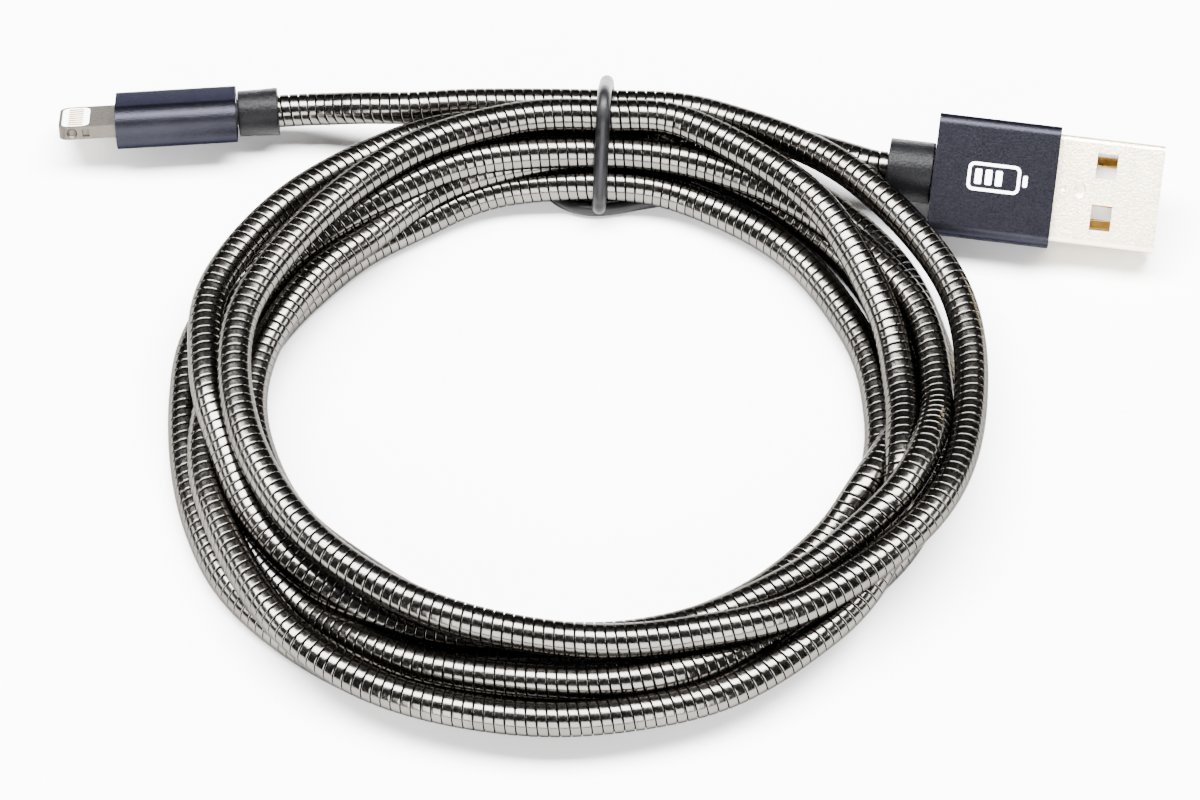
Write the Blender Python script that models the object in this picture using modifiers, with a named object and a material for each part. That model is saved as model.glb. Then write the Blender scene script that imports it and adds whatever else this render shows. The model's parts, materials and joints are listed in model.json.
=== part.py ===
"""A coiled charging cable: a USB plug and a phone plug on one steel-armoured cord, held by a rubber tie.

The cord is wound six times and lies flat. World frame: metres, +Z up, the table at z = 0. Each plug is
modelled in its own frame, with +X out of its mouth and +Z out of its upper face, and hangs on an empty
that holds its place, roll and yaw.
"""

import math

import bmesh
import bpy
from mathutils import Matrix, Vector

MM = 0.001

# ---- driving sizes, in millimetres --------------------------------------------------------------

CABLE_DIAMETER = 3.7
JACKET_DIAMETER = 2.6
FACE_GAP = 0.3
SLIDE_GAP = 0.1
SEAT_GAP = 0.05

# USB plug
USB_BODY_LENGTH = 13.7
USB_BODY_WIDTH = 13.5
USB_BODY_THICKNESS = 6.9
USB_BODY_CORNER = 1.2
USB_BODY_WALL = 0.35
USB_SHELL_WIDTH = 12.0
USB_SHELL_THICKNESS = 4.5
USB_SHELL_WALL = 0.3
USB_SHELL_CORNER = 0.65
USB_SHELL_EXPOSED = 11.7
USB_SHELL_TAIL = 5.0
USB_WINDOW_LENGTH = 2.3
USB_WINDOW_WIDTH = 2.9
USB_WINDOW_FROM_MOUTH = 5.1
USB_WINDOW_OFFSET = 2.9
USB_DIMPLE_LENGTH = 1.3
USB_DIMPLE_WIDTH = 1.9
USB_DIMPLE_DEPTH = 0.15
USB_DIMPLE_FROM_BODY = 2.8
USB_DOT_DIAMETER = 0.7
USB_DOT_FROM_BODY = 0.9
USB_TONGUE_THICKNESS = 1.85
USB_TONGUE_SETBACK = 0.4
USB_CONTACT_WIDTH = 1.0
USB_CONTACT_THICKNESS = 0.25
USB_POWER_CONTACT_OFFSET = 3.5
USB_DATA_CONTACT_OFFSET = 1.0
USB_POWER_CONTACT_SETBACK = 1.2
USB_DATA_CONTACT_SETBACK = 2.2
USB_CONTACT_TAIL = 1.2
USB_FRONT_INSERT_LENGTH = 3.4
USB_REAR_INSERT_LENGTH = 2.6
USB_BOARD_LENGTH = 2.0
USB_BOARD_WIDTH = 9.6
USB_BOARD_THICKNESS = 0.6
USB_COLLAR_DIAMETER = 6.9
USB_COLLAR_LENGTH = 5.2
USB_COLLAR_NECK = 1.6

# Phone plug
PHONE_BODY_LENGTH = 13.7
PHONE_BODY_WIDTH = 8.5
PHONE_BODY_THICKNESS = 5.1
PHONE_BODY_CORNER = 2.2
PHONE_BODY_WALL = 0.45
PHONE_TIP_WIDTH = 6.7
PHONE_TIP_THICKNESS = 1.5
PHONE_TIP_EXPOSED = 6.5
PHONE_TIP_TAIL = 4.4
PHONE_TIP_CORNER = 1.1
PHONE_CARRIER_LENGTH = 3.1
PHONE_CARRIER_WIDTH = 5.9
PHONE_CARRIER_SETBACK = 0.35
PHONE_CARRIER_CORNER = 0.8
PHONE_CONTACT_COUNT = 8
PHONE_CONTACT_PITCH = 0.68
PHONE_CONTACT_WIDTH = 0.4
PHONE_CONTACT_LENGTH = 1.6
PHONE_CONTACT_DEPTH = 0.3
PHONE_NOTCH_LENGTH = 0.8
PHONE_NOTCH_DEPTH = 0.35
PHONE_NOTCH_FROM_TIP = 2.7
PHONE_NOTCH_SHARE = 0.3
PHONE_DETENT_DIAMETER = 1.2
PHONE_DETENT_DEPTH = 0.3
PHONE_DETENT_FROM_TIP = 1.5
PHONE_FRONT_INSERT_LENGTH = 3.0
PHONE_REAR_INSERT_LENGTH = 2.4
PHONE_BOARD_LENGTH = 3.0
PHONE_BOARD_WIDTH = 5.4
PHONE_BOARD_THICKNESS = 0.5
PHONE_CHIP_LENGTH = 1.8
PHONE_CHIP_WIDTH = 2.4
PHONE_CHIP_THICKNESS = 0.5
PHONE_COLLAR_FRONT_DIAMETER = 5.3
PHONE_COLLAR_REAR_DIAMETER = 5.6
PHONE_COLLAR_LENGTH = 4.8
PHONE_COLLAR_NECK = 1.4

# Conductors and crimps, the same in both plugs
WIRE_DIAMETER = 0.6
WIRE_SPACING = 1.0
WIRE_GATHER = 0.72
WIRE_BENDS = ((0.35, 0.2), (0.7, 0.9))
CRIMP_WALL = 0.3
NECK_WALL = 0.2
CRIMP_LENGTH = 1.8
JACKET_STUB = 0.6
COLLAR_ROUNDING = 0.2
BODY_EDGE = 0.15
TONGUE_EDGE = 0.2
CONTACT_EDGE = 0.08
LEAST_CORNER = 0.2
CHIP_SETBACK = 0.4

# Coil and tie
COIL_RADIUS = 38.4
COIL_DEPTH_RATIO = 0.922
COIL_SECTION_WIDTH = 12.6
COIL_SECTION_HEIGHT = 11.6
COIL_SECTION_CORNER = 4.4
COIL_FLOOR_GAP = 0.1
TIE_DIAMETER = 1.6
TIE_CLEARANCE = 0.5
TIE_CHANNEL_HEIGHT = 2.6
TIE_CHANNEL_LEFT = -8.6
TIE_CHANNEL_RIGHT = 17.2

# ---- places, in millimetres and degrees ---------------------------------------------------------

COIL_MIDDLE = -4.05
COIL_BACK = 2.59
COIL_CENTRE = (COIL_MIDDLE, COIL_BACK - COIL_RADIUS * COIL_DEPTH_RATIO)
USB_MOUTH = (50.3, -4.51)
USB_ROLL = 36.0
USB_YAW = -8.8
PHONE_MOUTH = (-56.11, 6.98)
PHONE_ROLL = 30.0
PHONE_YAW = 184.4
PHONE_LIFT = 0.7

# The leads' own points between the collars and the coil, each counted from the collar's end.
PHONE_LEAD_ROUTE = [
    (3.0, 0.21, 0.07),
    (6.1, 0.11, 0.57),
    (10.0, -0.49, 1.57),
    (14.4, -1.39, 2.37),
]
USB_LEAD_ROUTE = [
    (-2.18, 0.33, 0.12),
    (-3.98, 0.63, 0.12),
]

# The tie's run along the table under the bundle: to the side of the coil's middle, out from its
# centre line, and up. The rest of the loop goes around the bundle's section.
TIE_FLOOR_ROUTE = [
    (2.9, -5.0, 0.95),
    (2.4, -3.4, 0.87),
    (1.0, -1.9, 0.87),
    (-1.2, -1.4, 0.87),
    (-3.2, -2.4, 0.87),
    (-3.7, -4.4, 0.87),
    (-2.4, -6.6, 0.87),
    (0.2, -7.9, 0.87),
    (3.2, -8.3, 0.87),
    (6.2, -7.9, 0.87),
    (9.2, -6.8, 0.87),
    (11.4, -5.0, 0.87),
    (12.0, -2.6, 0.87),
    (10.6, 0.4, 0.87),
    (8.2, 3.2, 0.87),
    (6.0, 5.4, 0.87),
]
TIE_FRONT_SIDEWAYS = 3.0
TIE_BACK_SIDEWAYS = 4.0

ROUND_STEPS = 24
COIL_STEPS = 60
CORNER_STEPS = 5
CORD_SPACING = 8.0
TIE_SPACING = 2.0
CORD_BEVEL = 2


# ---- scene and materials ------------------------------------------------------------------------

def clear_scene():
    """Remove every object and collection content that the scene starts with."""
    for item in list(bpy.data.objects):
        bpy.data.objects.remove(item, do_unlink=True)


def make_collection(name):
    """Return a new collection linked to the scene."""
    collection = bpy.data.collections.new(name)
    bpy.context.scene.collection.children.link(collection)
    return collection


def make_material(name, colour, roughness, metallic):
    """Return a Principled material."""
    material = bpy.data.materials.new(name)
    material.use_nodes = True
    shader = material.node_tree.nodes["Principled BSDF"]
    shader.inputs["Base Color"].default_value = (*colour, 1.0)
    shader.inputs["Roughness"].default_value = roughness
    shader.inputs["Metallic"].default_value = metallic
    material.diffuse_color = (*colour, 1.0)
    return material


clear_scene()
PARTS = make_collection("charging_cable")
CUTTERS = make_collection("cutters")

ANODISED = dict(colour=(0.030, 0.032, 0.045), roughness=0.38, metallic=0.85)
MOULDED = dict(colour=(0.020, 0.020, 0.022), roughness=0.55, metallic=0.0)
NICKEL = dict(colour=(0.78, 0.74, 0.68), roughness=0.28, metallic=1.0)
STEEL_TIP = dict(colour=(0.62, 0.59, 0.55), roughness=0.32, metallic=1.0)
GOLD = dict(colour=(0.83, 0.60, 0.25), roughness=0.25, metallic=1.0)
WHITE_PLASTIC = dict(colour=(0.86, 0.86, 0.85), roughness=0.40, metallic=0.0)
GREY_PLASTIC = dict(colour=(0.45, 0.46, 0.47), roughness=0.45, metallic=0.0)
ARMOUR = dict(colour=(0.20, 0.19, 0.19), roughness=0.18, metallic=1.0)
RUBBER = dict(colour=(0.018, 0.018, 0.020), roughness=0.60, metallic=0.0)
JACKET = dict(colour=(0.03, 0.03, 0.03), roughness=0.60, metallic=0.0)
BOARD = dict(colour=(0.02, 0.16, 0.07), roughness=0.45, metallic=0.0)
CHIP = dict(colour=(0.03, 0.03, 0.03), roughness=0.35, metallic=0.0)
TIN = dict(colour=(0.66, 0.66, 0.66), roughness=0.35, metallic=1.0)
WIRE_FINISHES = {
    "power": dict(colour=(0.60, 0.03, 0.03), roughness=0.45, metallic=0.0),
    "data_minus": dict(colour=(0.85, 0.85, 0.83), roughness=0.45, metallic=0.0),
    "data_plus": dict(colour=(0.04, 0.35, 0.10), roughness=0.45, metallic=0.0),
    "ground": dict(colour=(0.03, 0.03, 0.03), roughness=0.45, metallic=0.0),
}


# ---- making shapes ------------------------------------------------------------------------------

# Takes a curve's or a turned piece's Z axis to a plug's X axis.
LAY_ALONG_X = Matrix(((0, 0, 1, 0), (1, 0, 0, 0), (0, 1, 0, 0), (0, 0, 0, 1)))


def place(name, mesh, finish, parent=None):
    """Link a mesh as one named node with its own material."""
    mesh.materials.clear()
    mesh.materials.append(make_material(name, **finish))
    node = bpy.data.objects.new(name, mesh)
    PARTS.objects.link(node)
    node.parent = parent
    return node


def bake(holder):
    """Return the evaluated mesh of a temporary object and remove that object."""
    bpy.context.view_layer.update()
    graph = bpy.context.evaluated_depsgraph_get()
    mesh = bpy.data.meshes.new_from_object(holder.evaluated_get(graph))
    bpy.data.objects.remove(holder, do_unlink=True)
    work = bmesh.new()
    work.from_mesh(mesh)
    bmesh.ops.remove_doubles(work, verts=work.verts, dist=0.01 * MM)
    bmesh.ops.recalc_face_normals(work, faces=work.faces)
    work.to_mesh(mesh)
    work.free()
    return mesh


def box_mesh(low, high):
    """Return a box between two corners in millimetres."""
    low = Vector(low)
    high = Vector(high)
    size = (high - low) * MM
    centre = (high + low) * 0.5 * MM
    mesh = bpy.data.meshes.new("box")
    work = bmesh.new()
    bmesh.ops.create_cube(work, size=1.0, matrix=Matrix.Translation(centre) @ Matrix.Diagonal((*size, 1.0)))
    work.to_mesh(mesh)
    work.free()
    return mesh


def rounded_outline(width, height, radius):
    """Return the points of a rectangle with round corners, centred on the origin."""
    points = []
    half_x = width / 2 - radius
    half_y = height / 2 - radius
    for corner, (sign_x, sign_y) in enumerate(((1, 1), (-1, 1), (-1, -1), (1, -1))):
        for step in range(CORNER_STEPS + 1):
            angle = math.radians(90 * (corner + step / CORNER_STEPS))
            x = sign_x * half_x + radius * math.cos(angle)
            y = sign_y * half_y + radius * math.sin(angle)
            points.append((x, y))
    return points


def plate_mesh(outlines, depth):
    """Extrude flat outlines, of which later ones are holes, evenly about the XY plane."""
    curve = bpy.data.curves.new("outline", "CURVE")
    curve.dimensions = "2D"
    curve.fill_mode = "BOTH"
    curve.extrude = depth / 2 * MM
    for outline in outlines:
        spline = curve.splines.new("POLY")
        spline.points.add(len(outline) - 1)
        for point, (x, y) in zip(spline.points, outline):
            point.co = (x * MM, y * MM, 0.0, 1.0)
        spline.use_cyclic_u = True
    holder = bpy.data.objects.new("outline", curve)
    bpy.context.scene.collection.objects.link(holder)
    return bake(holder)


def extruded_mesh(outlines, start, end):
    """Extrude flat outlines along X from start to end."""
    mesh = plate_mesh(outlines, end - start)
    mesh.transform(Matrix.Translation(((start + end) / 2 * MM, 0, 0)) @ LAY_ALONG_X)
    return mesh


def turned_mesh(profile, steps=ROUND_STEPS):
    """Turn a closed (radius, height) profile about Z."""
    mesh = bpy.data.meshes.new("profile")
    points = [(radius * MM, 0.0, height * MM) for radius, height in profile]
    edges = [(i, (i + 1) % len(points)) for i in range(len(points))]
    mesh.from_pydata(points, edges, [])
    holder = bpy.data.objects.new("profile", mesh)
    bpy.context.scene.collection.objects.link(holder)
    screw = holder.modifiers.new("turn", "SCREW")
    screw.steps = steps
    screw.render_steps = steps
    screw.use_merge_vertices = True
    screw.merge_threshold = 0.00001
    return bake(holder)


def bevelled(mesh, width, segments=2):
    """Return the mesh with its sharp edges rounded."""
    holder = bpy.data.objects.new("bevel", mesh)
    bpy.context.scene.collection.objects.link(holder)
    bevel = holder.modifiers.new("edge", "BEVEL")
    bevel.width = width * MM
    bevel.segments = segments
    bevel.limit_method = "ANGLE"
    bevel.angle_limit = math.radians(50)
    return bake(holder)


def cut(mesh, cutters):
    """Return the mesh with each cutter mesh taken away by an exact Boolean."""
    holder = bpy.data.objects.new("cut", mesh)
    bpy.context.scene.collection.objects.link(holder)
    for index, cutter_mesh in enumerate(cutters):
        cutter = bpy.data.objects.new(f"cutter_{len(CUTTERS.objects)}", cutter_mesh)
        cutter.hide_render = True
        cutter.display_type = "WIRE"
        CUTTERS.objects.link(cutter)
        boolean = holder.modifiers.new(f"cut_{index}", "BOOLEAN")
        boolean.operation = "DIFFERENCE"
        boolean.solver = "EXACT"
        boolean.object = cutter
    result = bake(holder)
    for cutter in list(CUTTERS.objects):
        bpy.data.objects.remove(cutter, do_unlink=True)
    return result


def smooth_route(points, spacing, closed=False):
    """Read evenly spaced points from a smooth curve through the given ones."""
    points = [Vector(point) for point in points]
    count = len(points)
    spans = count if closed else count - 1

    def neighbour(index):
        if closed:
            return points[index % count]
        if index < 0:
            return points[0] * 2 - points[1]
        if index >= count:
            return points[-1] * 2 - points[-2]
        return points[index]

    fine = []
    for span in range(spans):
        before, start, end, after = (neighbour(span + k) for k in (-1, 0, 1, 2))
        for step in range(20):
            t = step / 20
            fine.append(0.5 * (2 * start + (end - before) * t
                               + (2 * before - 5 * start + 4 * end - after) * t ** 2
                               + (3 * start - before - 3 * end + after) * t ** 3))
    fine.append(points[0].copy() if closed else points[-1].copy())
    walked = [0.0]
    for first, second in zip(fine, fine[1:]):
        walked.append(walked[-1] + (second - first).length)
    pieces = max(3, round(walked[-1] / spacing))
    result = []
    at = 0
    for piece in range(pieces + (0 if closed else 1)):
        target = walked[-1] * piece / pieces
        while at < len(walked) - 2 and walked[at + 1] < target:
            at += 1
        share = (target - walked[at]) / (walked[at + 1] - walked[at])
        result.append(fine[at].lerp(fine[at + 1], min(share, 1.0)))
    return result


def tube_mesh(points, diameter, closed=False):
    """Return a round tube along points in millimetres, with capped ends unless it is closed."""
    curve = bpy.data.curves.new("tube", "CURVE")
    curve.dimensions = "3D"
    curve.bevel_depth = diameter / 2 * MM
    curve.bevel_resolution = CORD_BEVEL
    curve.use_fill_caps = not closed
    spline = curve.splines.new("POLY")
    spline.points.add(len(points) - 1)
    for point, place_mm in zip(spline.points, points):
        point.co = (*(Vector(place_mm) * MM), 1.0)
    spline.use_cyclic_u = closed
    holder = bpy.data.objects.new("tube", curve)
    bpy.context.scene.collection.objects.link(holder)
    return bake(holder)


def shade_round(node):
    """Shade a round piece smooth."""
    for face in node.data.polygons:
        face.use_smooth = True
    return node


def resting_height(width, thickness, corner, roll):
    """Return how high a rolled body's middle sits when its long edge touches the table."""
    tilt = math.radians(roll)
    return (width / 2 - corner) * math.sin(tilt) + (thickness / 2 - corner) * math.cos(tilt) + corner


def plug_frame(name, mouth, height, roll, yaw):
    """Return the empty that holds a plug at the middle of its body's mouth face."""
    frame = bpy.data.objects.new(name, None)
    frame.location = Vector((*mouth, height)) * MM
    frame.rotation_euler = (math.radians(roll), 0.0, math.radians(yaw))
    PARTS.objects.link(frame)
    return frame


def collar_end(mouth, height, yaw, length):
    """Return the point on a plug's own axis just behind its collar."""
    turn = math.radians(yaw)
    reach = length + FACE_GAP
    return (mouth[0] - reach * math.cos(turn), mouth[1] - reach * math.sin(turn), height)


def sleeve(name, parent, width, thickness, corner, wall, length):
    """An anodised tube with rounded long edges, from the plug's mouth face back."""
    outer = rounded_outline(width, thickness, corner)
    inner = rounded_outline(width - 2 * wall, thickness - 2 * wall, max(corner - wall, LEAST_CORNER))
    return place(name, bevelled(extruded_mesh([outer, inner], -length, 0.0), BODY_EDGE), ANODISED, parent)


def collar(name, parent, front, rear, length, neck, neck_diameter, back):
    """A moulded collar behind a plug body: a flared sleeve and a neck that seats in the body."""
    bore = JACKET_DIAMETER / 2 + SLIDE_GAP
    profile = [
        (neck_diameter / 2, neck),
        (neck_diameter / 2, -FACE_GAP),
        (front / 2 - COLLAR_ROUNDING, -FACE_GAP),
        (front / 2, -FACE_GAP - COLLAR_ROUNDING),
        (rear / 2, COLLAR_ROUNDING - length),
        (rear / 2 - COLLAR_ROUNDING, -length),
        (bore, -length),
        (bore, neck),
    ]
    mesh = turned_mesh(profile)
    mesh.transform(Matrix.Translation((back * MM, 0, 0)) @ LAY_ALONG_X)
    return shade_round(place(name, mesh, MOULDED, parent))


def rod_mesh(radius, start, end, bore=0.0):
    """A round bar or ring along X."""
    profile = [(radius, end), (radius, start), (bore, start), (bore, end)]
    mesh = turned_mesh(profile)
    mesh.transform(LAY_ALONG_X)
    return mesh


# ---- USB plug -----------------------------------------------------------------------------------

def usb_plug():
    """Build the USB plug on its own frame."""
    frame = plug_frame("usb_frame", USB_MOUTH, USB_HEIGHT, USB_ROLL, USB_YAW)
    back = -USB_BODY_LENGTH
    sleeve("usb_housing", frame, USB_BODY_WIDTH, USB_BODY_THICKNESS, USB_BODY_CORNER,
           USB_BODY_WALL, USB_BODY_LENGTH)

    inside_width = USB_BODY_WIDTH - 2 * USB_BODY_WALL - 2 * SLIDE_GAP
    inside_thickness = USB_BODY_THICKNESS - 2 * USB_BODY_WALL - 2 * SLIDE_GAP
    inside_corner = USB_BODY_CORNER - USB_BODY_WALL
    insert = rounded_outline(inside_width, inside_thickness, inside_corner)

    slot = rounded_outline(USB_SHELL_WIDTH + 2 * SEAT_GAP, USB_SHELL_THICKNESS + 2 * SEAT_GAP,
                           USB_SHELL_CORNER + SEAT_GAP)
    place("usb_front_insert", extruded_mesh([insert, slot], -USB_FRONT_INSERT_LENGTH, -SLIDE_GAP),
          MOULDED, frame)

    neck_diameter = JACKET_DIAMETER + 2 * (SLIDE_GAP + NECK_WALL)
    hole = round_outline(neck_diameter + 2 * SEAT_GAP)
    place("usb_rear_insert", extruded_mesh([insert, hole], back + SLIDE_GAP, back + USB_REAR_INSERT_LENGTH),
          MOULDED, frame)

    shell_outer = rounded_outline(USB_SHELL_WIDTH, USB_SHELL_THICKNESS, USB_SHELL_CORNER)
    inner_width = USB_SHELL_WIDTH - 2 * USB_SHELL_WALL
    inner_thickness = USB_SHELL_THICKNESS - 2 * USB_SHELL_WALL
    shell_inner = rounded_outline(inner_width, inner_thickness, USB_SHELL_CORNER - USB_SHELL_WALL)
    shell = extruded_mesh([shell_outer, shell_inner], -USB_SHELL_TAIL, USB_SHELL_EXPOSED)
    window_front = USB_SHELL_EXPOSED - USB_WINDOW_FROM_MOUTH
    cutters = []
    for side in (-1, 1):
        middle = side * USB_WINDOW_OFFSET
        low = (window_front - USB_WINDOW_LENGTH, middle - USB_WINDOW_WIDTH / 2, USB_SHELL_THICKNESS / 4)
        high = (window_front, middle + USB_WINDOW_WIDTH / 2, USB_SHELL_THICKNESS)
        cutters.append(box_mesh(low, high))
        cutters.append(box_mesh((low[0], low[1], -high[2]), (high[0], high[1], -low[2])))
    cutters.append(dimple_mesh(USB_DIMPLE_FROM_BODY, USB_DIMPLE_LENGTH, USB_DIMPLE_WIDTH))
    cutters.append(dimple_mesh(USB_DOT_FROM_BODY, USB_DOT_DIAMETER, USB_DOT_DIAMETER))
    place("usb_shell", cut(shell, cutters), NICKEL, frame)

    tongue_floor = SEAT_GAP - inner_thickness / 2
    tongue_top = tongue_floor + USB_TONGUE_THICKNESS
    tongue_half = inner_width / 2 - SLIDE_GAP
    tongue_low = (-USB_SHELL_TAIL, -tongue_half, tongue_floor)
    tongue_high = (USB_SHELL_EXPOSED - USB_TONGUE_SETBACK, tongue_half, tongue_top)
    place("usb_tongue", bevelled(box_mesh(tongue_low, tongue_high), TONGUE_EDGE, 1), WHITE_PLASTIC, frame)

    contact_floor = tongue_top + SEAT_GAP
    contact_tail = -USB_SHELL_TAIL - USB_CONTACT_TAIL
    contacts = (
        ("usb_contact_power", -USB_POWER_CONTACT_OFFSET, USB_POWER_CONTACT_SETBACK),
        ("usb_contact_data_minus", -USB_DATA_CONTACT_OFFSET, USB_DATA_CONTACT_SETBACK),
        ("usb_contact_data_plus", USB_DATA_CONTACT_OFFSET, USB_DATA_CONTACT_SETBACK),
        ("usb_contact_ground", USB_POWER_CONTACT_OFFSET, USB_POWER_CONTACT_SETBACK),
    )
    for name, offset, setback in contacts:
        low = (contact_tail, offset - USB_CONTACT_WIDTH / 2, contact_floor)
        high = (USB_SHELL_EXPOSED - setback, offset + USB_CONTACT_WIDTH / 2,
                contact_floor + USB_CONTACT_THICKNESS)
        place(name, bevelled(box_mesh(low, high), CONTACT_EDGE, 1), GOLD, frame)

    board_front = -USB_SHELL_TAIL - SLIDE_GAP
    board_top = contact_floor - SEAT_GAP
    board_low = (board_front - USB_BOARD_LENGTH, -USB_BOARD_WIDTH / 2, board_top - USB_BOARD_THICKNESS)
    place("usb_board", box_mesh(board_low, (board_front, USB_BOARD_WIDTH / 2, board_top)), BOARD, frame)

    cable_entry("usb", frame, back, USB_COLLAR_NECK, USB_COLLAR_LENGTH, board_low[0], board_top)
    collar("usb_collar", frame, USB_COLLAR_DIAMETER, USB_COLLAR_DIAMETER, USB_COLLAR_LENGTH,
           USB_COLLAR_NECK, neck_diameter, back)
    return frame


def round_outline(diameter):
    """Return the points of a circle about the origin."""
    steps = ROUND_STEPS
    return [(diameter / 2 * math.cos(2 * math.pi * i / steps),
             diameter / 2 * math.sin(2 * math.pi * i / steps)) for i in range(steps)]


def dimple_mesh(from_body, length, width):
    """The round tool that presses a dimple into the shell's upper face."""
    mesh = bpy.data.meshes.new("dimple")
    work = bmesh.new()
    centre = Vector((from_body, 0.0, USB_SHELL_THICKNESS / 2)) * MM
    size = Matrix.Diagonal((length / 2 * MM, width / 2 * MM, USB_DIMPLE_DEPTH * MM, 1.0))
    bmesh.ops.create_uvsphere(work, u_segments=16, v_segments=8, radius=1.0,
                              matrix=Matrix.Translation(centre) @ size)
    work.to_mesh(mesh)
    work.free()
    return mesh


def cable_entry(prefix, parent, back, neck, collar_length, board_rear, board_top):
    """The bare jacket through the collar, the crimp on its end and four conductors to the board."""
    jacket_front = back + neck + JACKET_STUB + CRIMP_LENGTH
    jacket = rod_mesh(JACKET_DIAMETER / 2, back - collar_length, jacket_front)
    shade_round(place(f"{prefix}_jacket_end", jacket, JACKET, parent))

    crimp_bore = JACKET_DIAMETER / 2 + SEAT_GAP
    crimp_start = back + neck + JACKET_STUB
    crimp = rod_mesh(crimp_bore + CRIMP_WALL, crimp_start, crimp_start + CRIMP_LENGTH - SLIDE_GAP, crimp_bore)
    shade_round(place(f"{prefix}_crimp", crimp, TIN, parent))

    first = jacket_front + FACE_GAP
    last = board_rear + WIRE_DIAMETER
    floor = board_top + WIRE_DIAMETER / 2 + SEAT_GAP
    for index, (label, finish) in enumerate(WIRE_FINISHES.items()):
        side = (index - 1.5) * WIRE_SPACING
        inner = side * WIRE_GATHER
        route = [(first, inner, 0.0), (last, side, floor)]
        route[1:1] = [(first + (last - first) * along, across, floor * rise)
                      for (along, rise), across in zip(WIRE_BENDS, (inner, side))]
        mesh = tube_mesh(smooth_route(route, WIRE_DIAMETER), WIRE_DIAMETER)
        shade_round(place(f"{prefix}_wire_{label}", mesh, finish, parent))


# ---- phone plug ---------------------------------------------------------------------------------

def phone_plug():
    """Build the phone plug on its own frame."""
    frame = plug_frame("phone_frame", PHONE_MOUTH, PHONE_HEIGHT, PHONE_ROLL, PHONE_YAW)
    back = -PHONE_BODY_LENGTH
    sleeve("phone_housing", frame, PHONE_BODY_WIDTH, PHONE_BODY_THICKNESS, PHONE_BODY_CORNER,
           PHONE_BODY_WALL, PHONE_BODY_LENGTH)

    inside_width = PHONE_BODY_WIDTH - 2 * PHONE_BODY_WALL - 2 * SLIDE_GAP
    inside_thickness = PHONE_BODY_THICKNESS - 2 * PHONE_BODY_WALL - 2 * SLIDE_GAP
    insert = rounded_outline(inside_width, inside_thickness, PHONE_BODY_CORNER - PHONE_BODY_WALL)
    slot = rounded_outline(PHONE_TIP_WIDTH + 2 * SEAT_GAP, PHONE_TIP_THICKNESS + 2 * SEAT_GAP, LEAST_CORNER)
    place("phone_front_insert", extruded_mesh([insert, slot], -PHONE_FRONT_INSERT_LENGTH, -SLIDE_GAP),
          MOULDED, frame)
    neck_diameter = JACKET_DIAMETER + 2 * (SLIDE_GAP + NECK_WALL)
    hole = round_outline(neck_diameter + 2 * SEAT_GAP)
    rear_end = back + PHONE_REAR_INSERT_LENGTH
    place("phone_rear_insert", extruded_mesh([insert, hole], back + SLIDE_GAP, rear_end), MOULDED, frame)

    phone_tip(frame)

    board_front = -PHONE_TIP_TAIL - SLIDE_GAP
    board_top = PHONE_BOARD_THICKNESS / 2
    board_low = (board_front - PHONE_BOARD_LENGTH, -PHONE_BOARD_WIDTH / 2, -board_top)
    place("phone_board", box_mesh(board_low, (board_front, PHONE_BOARD_WIDTH / 2, board_top)), BOARD, frame)
    chip_front = board_front - CHIP_SETBACK
    chip_low = (chip_front - PHONE_CHIP_LENGTH, -PHONE_CHIP_WIDTH / 2,
                -board_top - SEAT_GAP - PHONE_CHIP_THICKNESS)
    chip_high = (chip_front, PHONE_CHIP_WIDTH / 2, -board_top - SEAT_GAP)
    place("phone_chip", box_mesh(chip_low, chip_high), CHIP, frame)

    cable_entry("phone", frame, back, PHONE_COLLAR_NECK, PHONE_COLLAR_LENGTH, board_low[0], board_top)
    collar("phone_collar", frame, PHONE_COLLAR_FRONT_DIAMETER, PHONE_COLLAR_REAR_DIAMETER,
           PHONE_COLLAR_LENGTH, PHONE_COLLAR_NECK, neck_diameter, back)
    return frame


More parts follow.
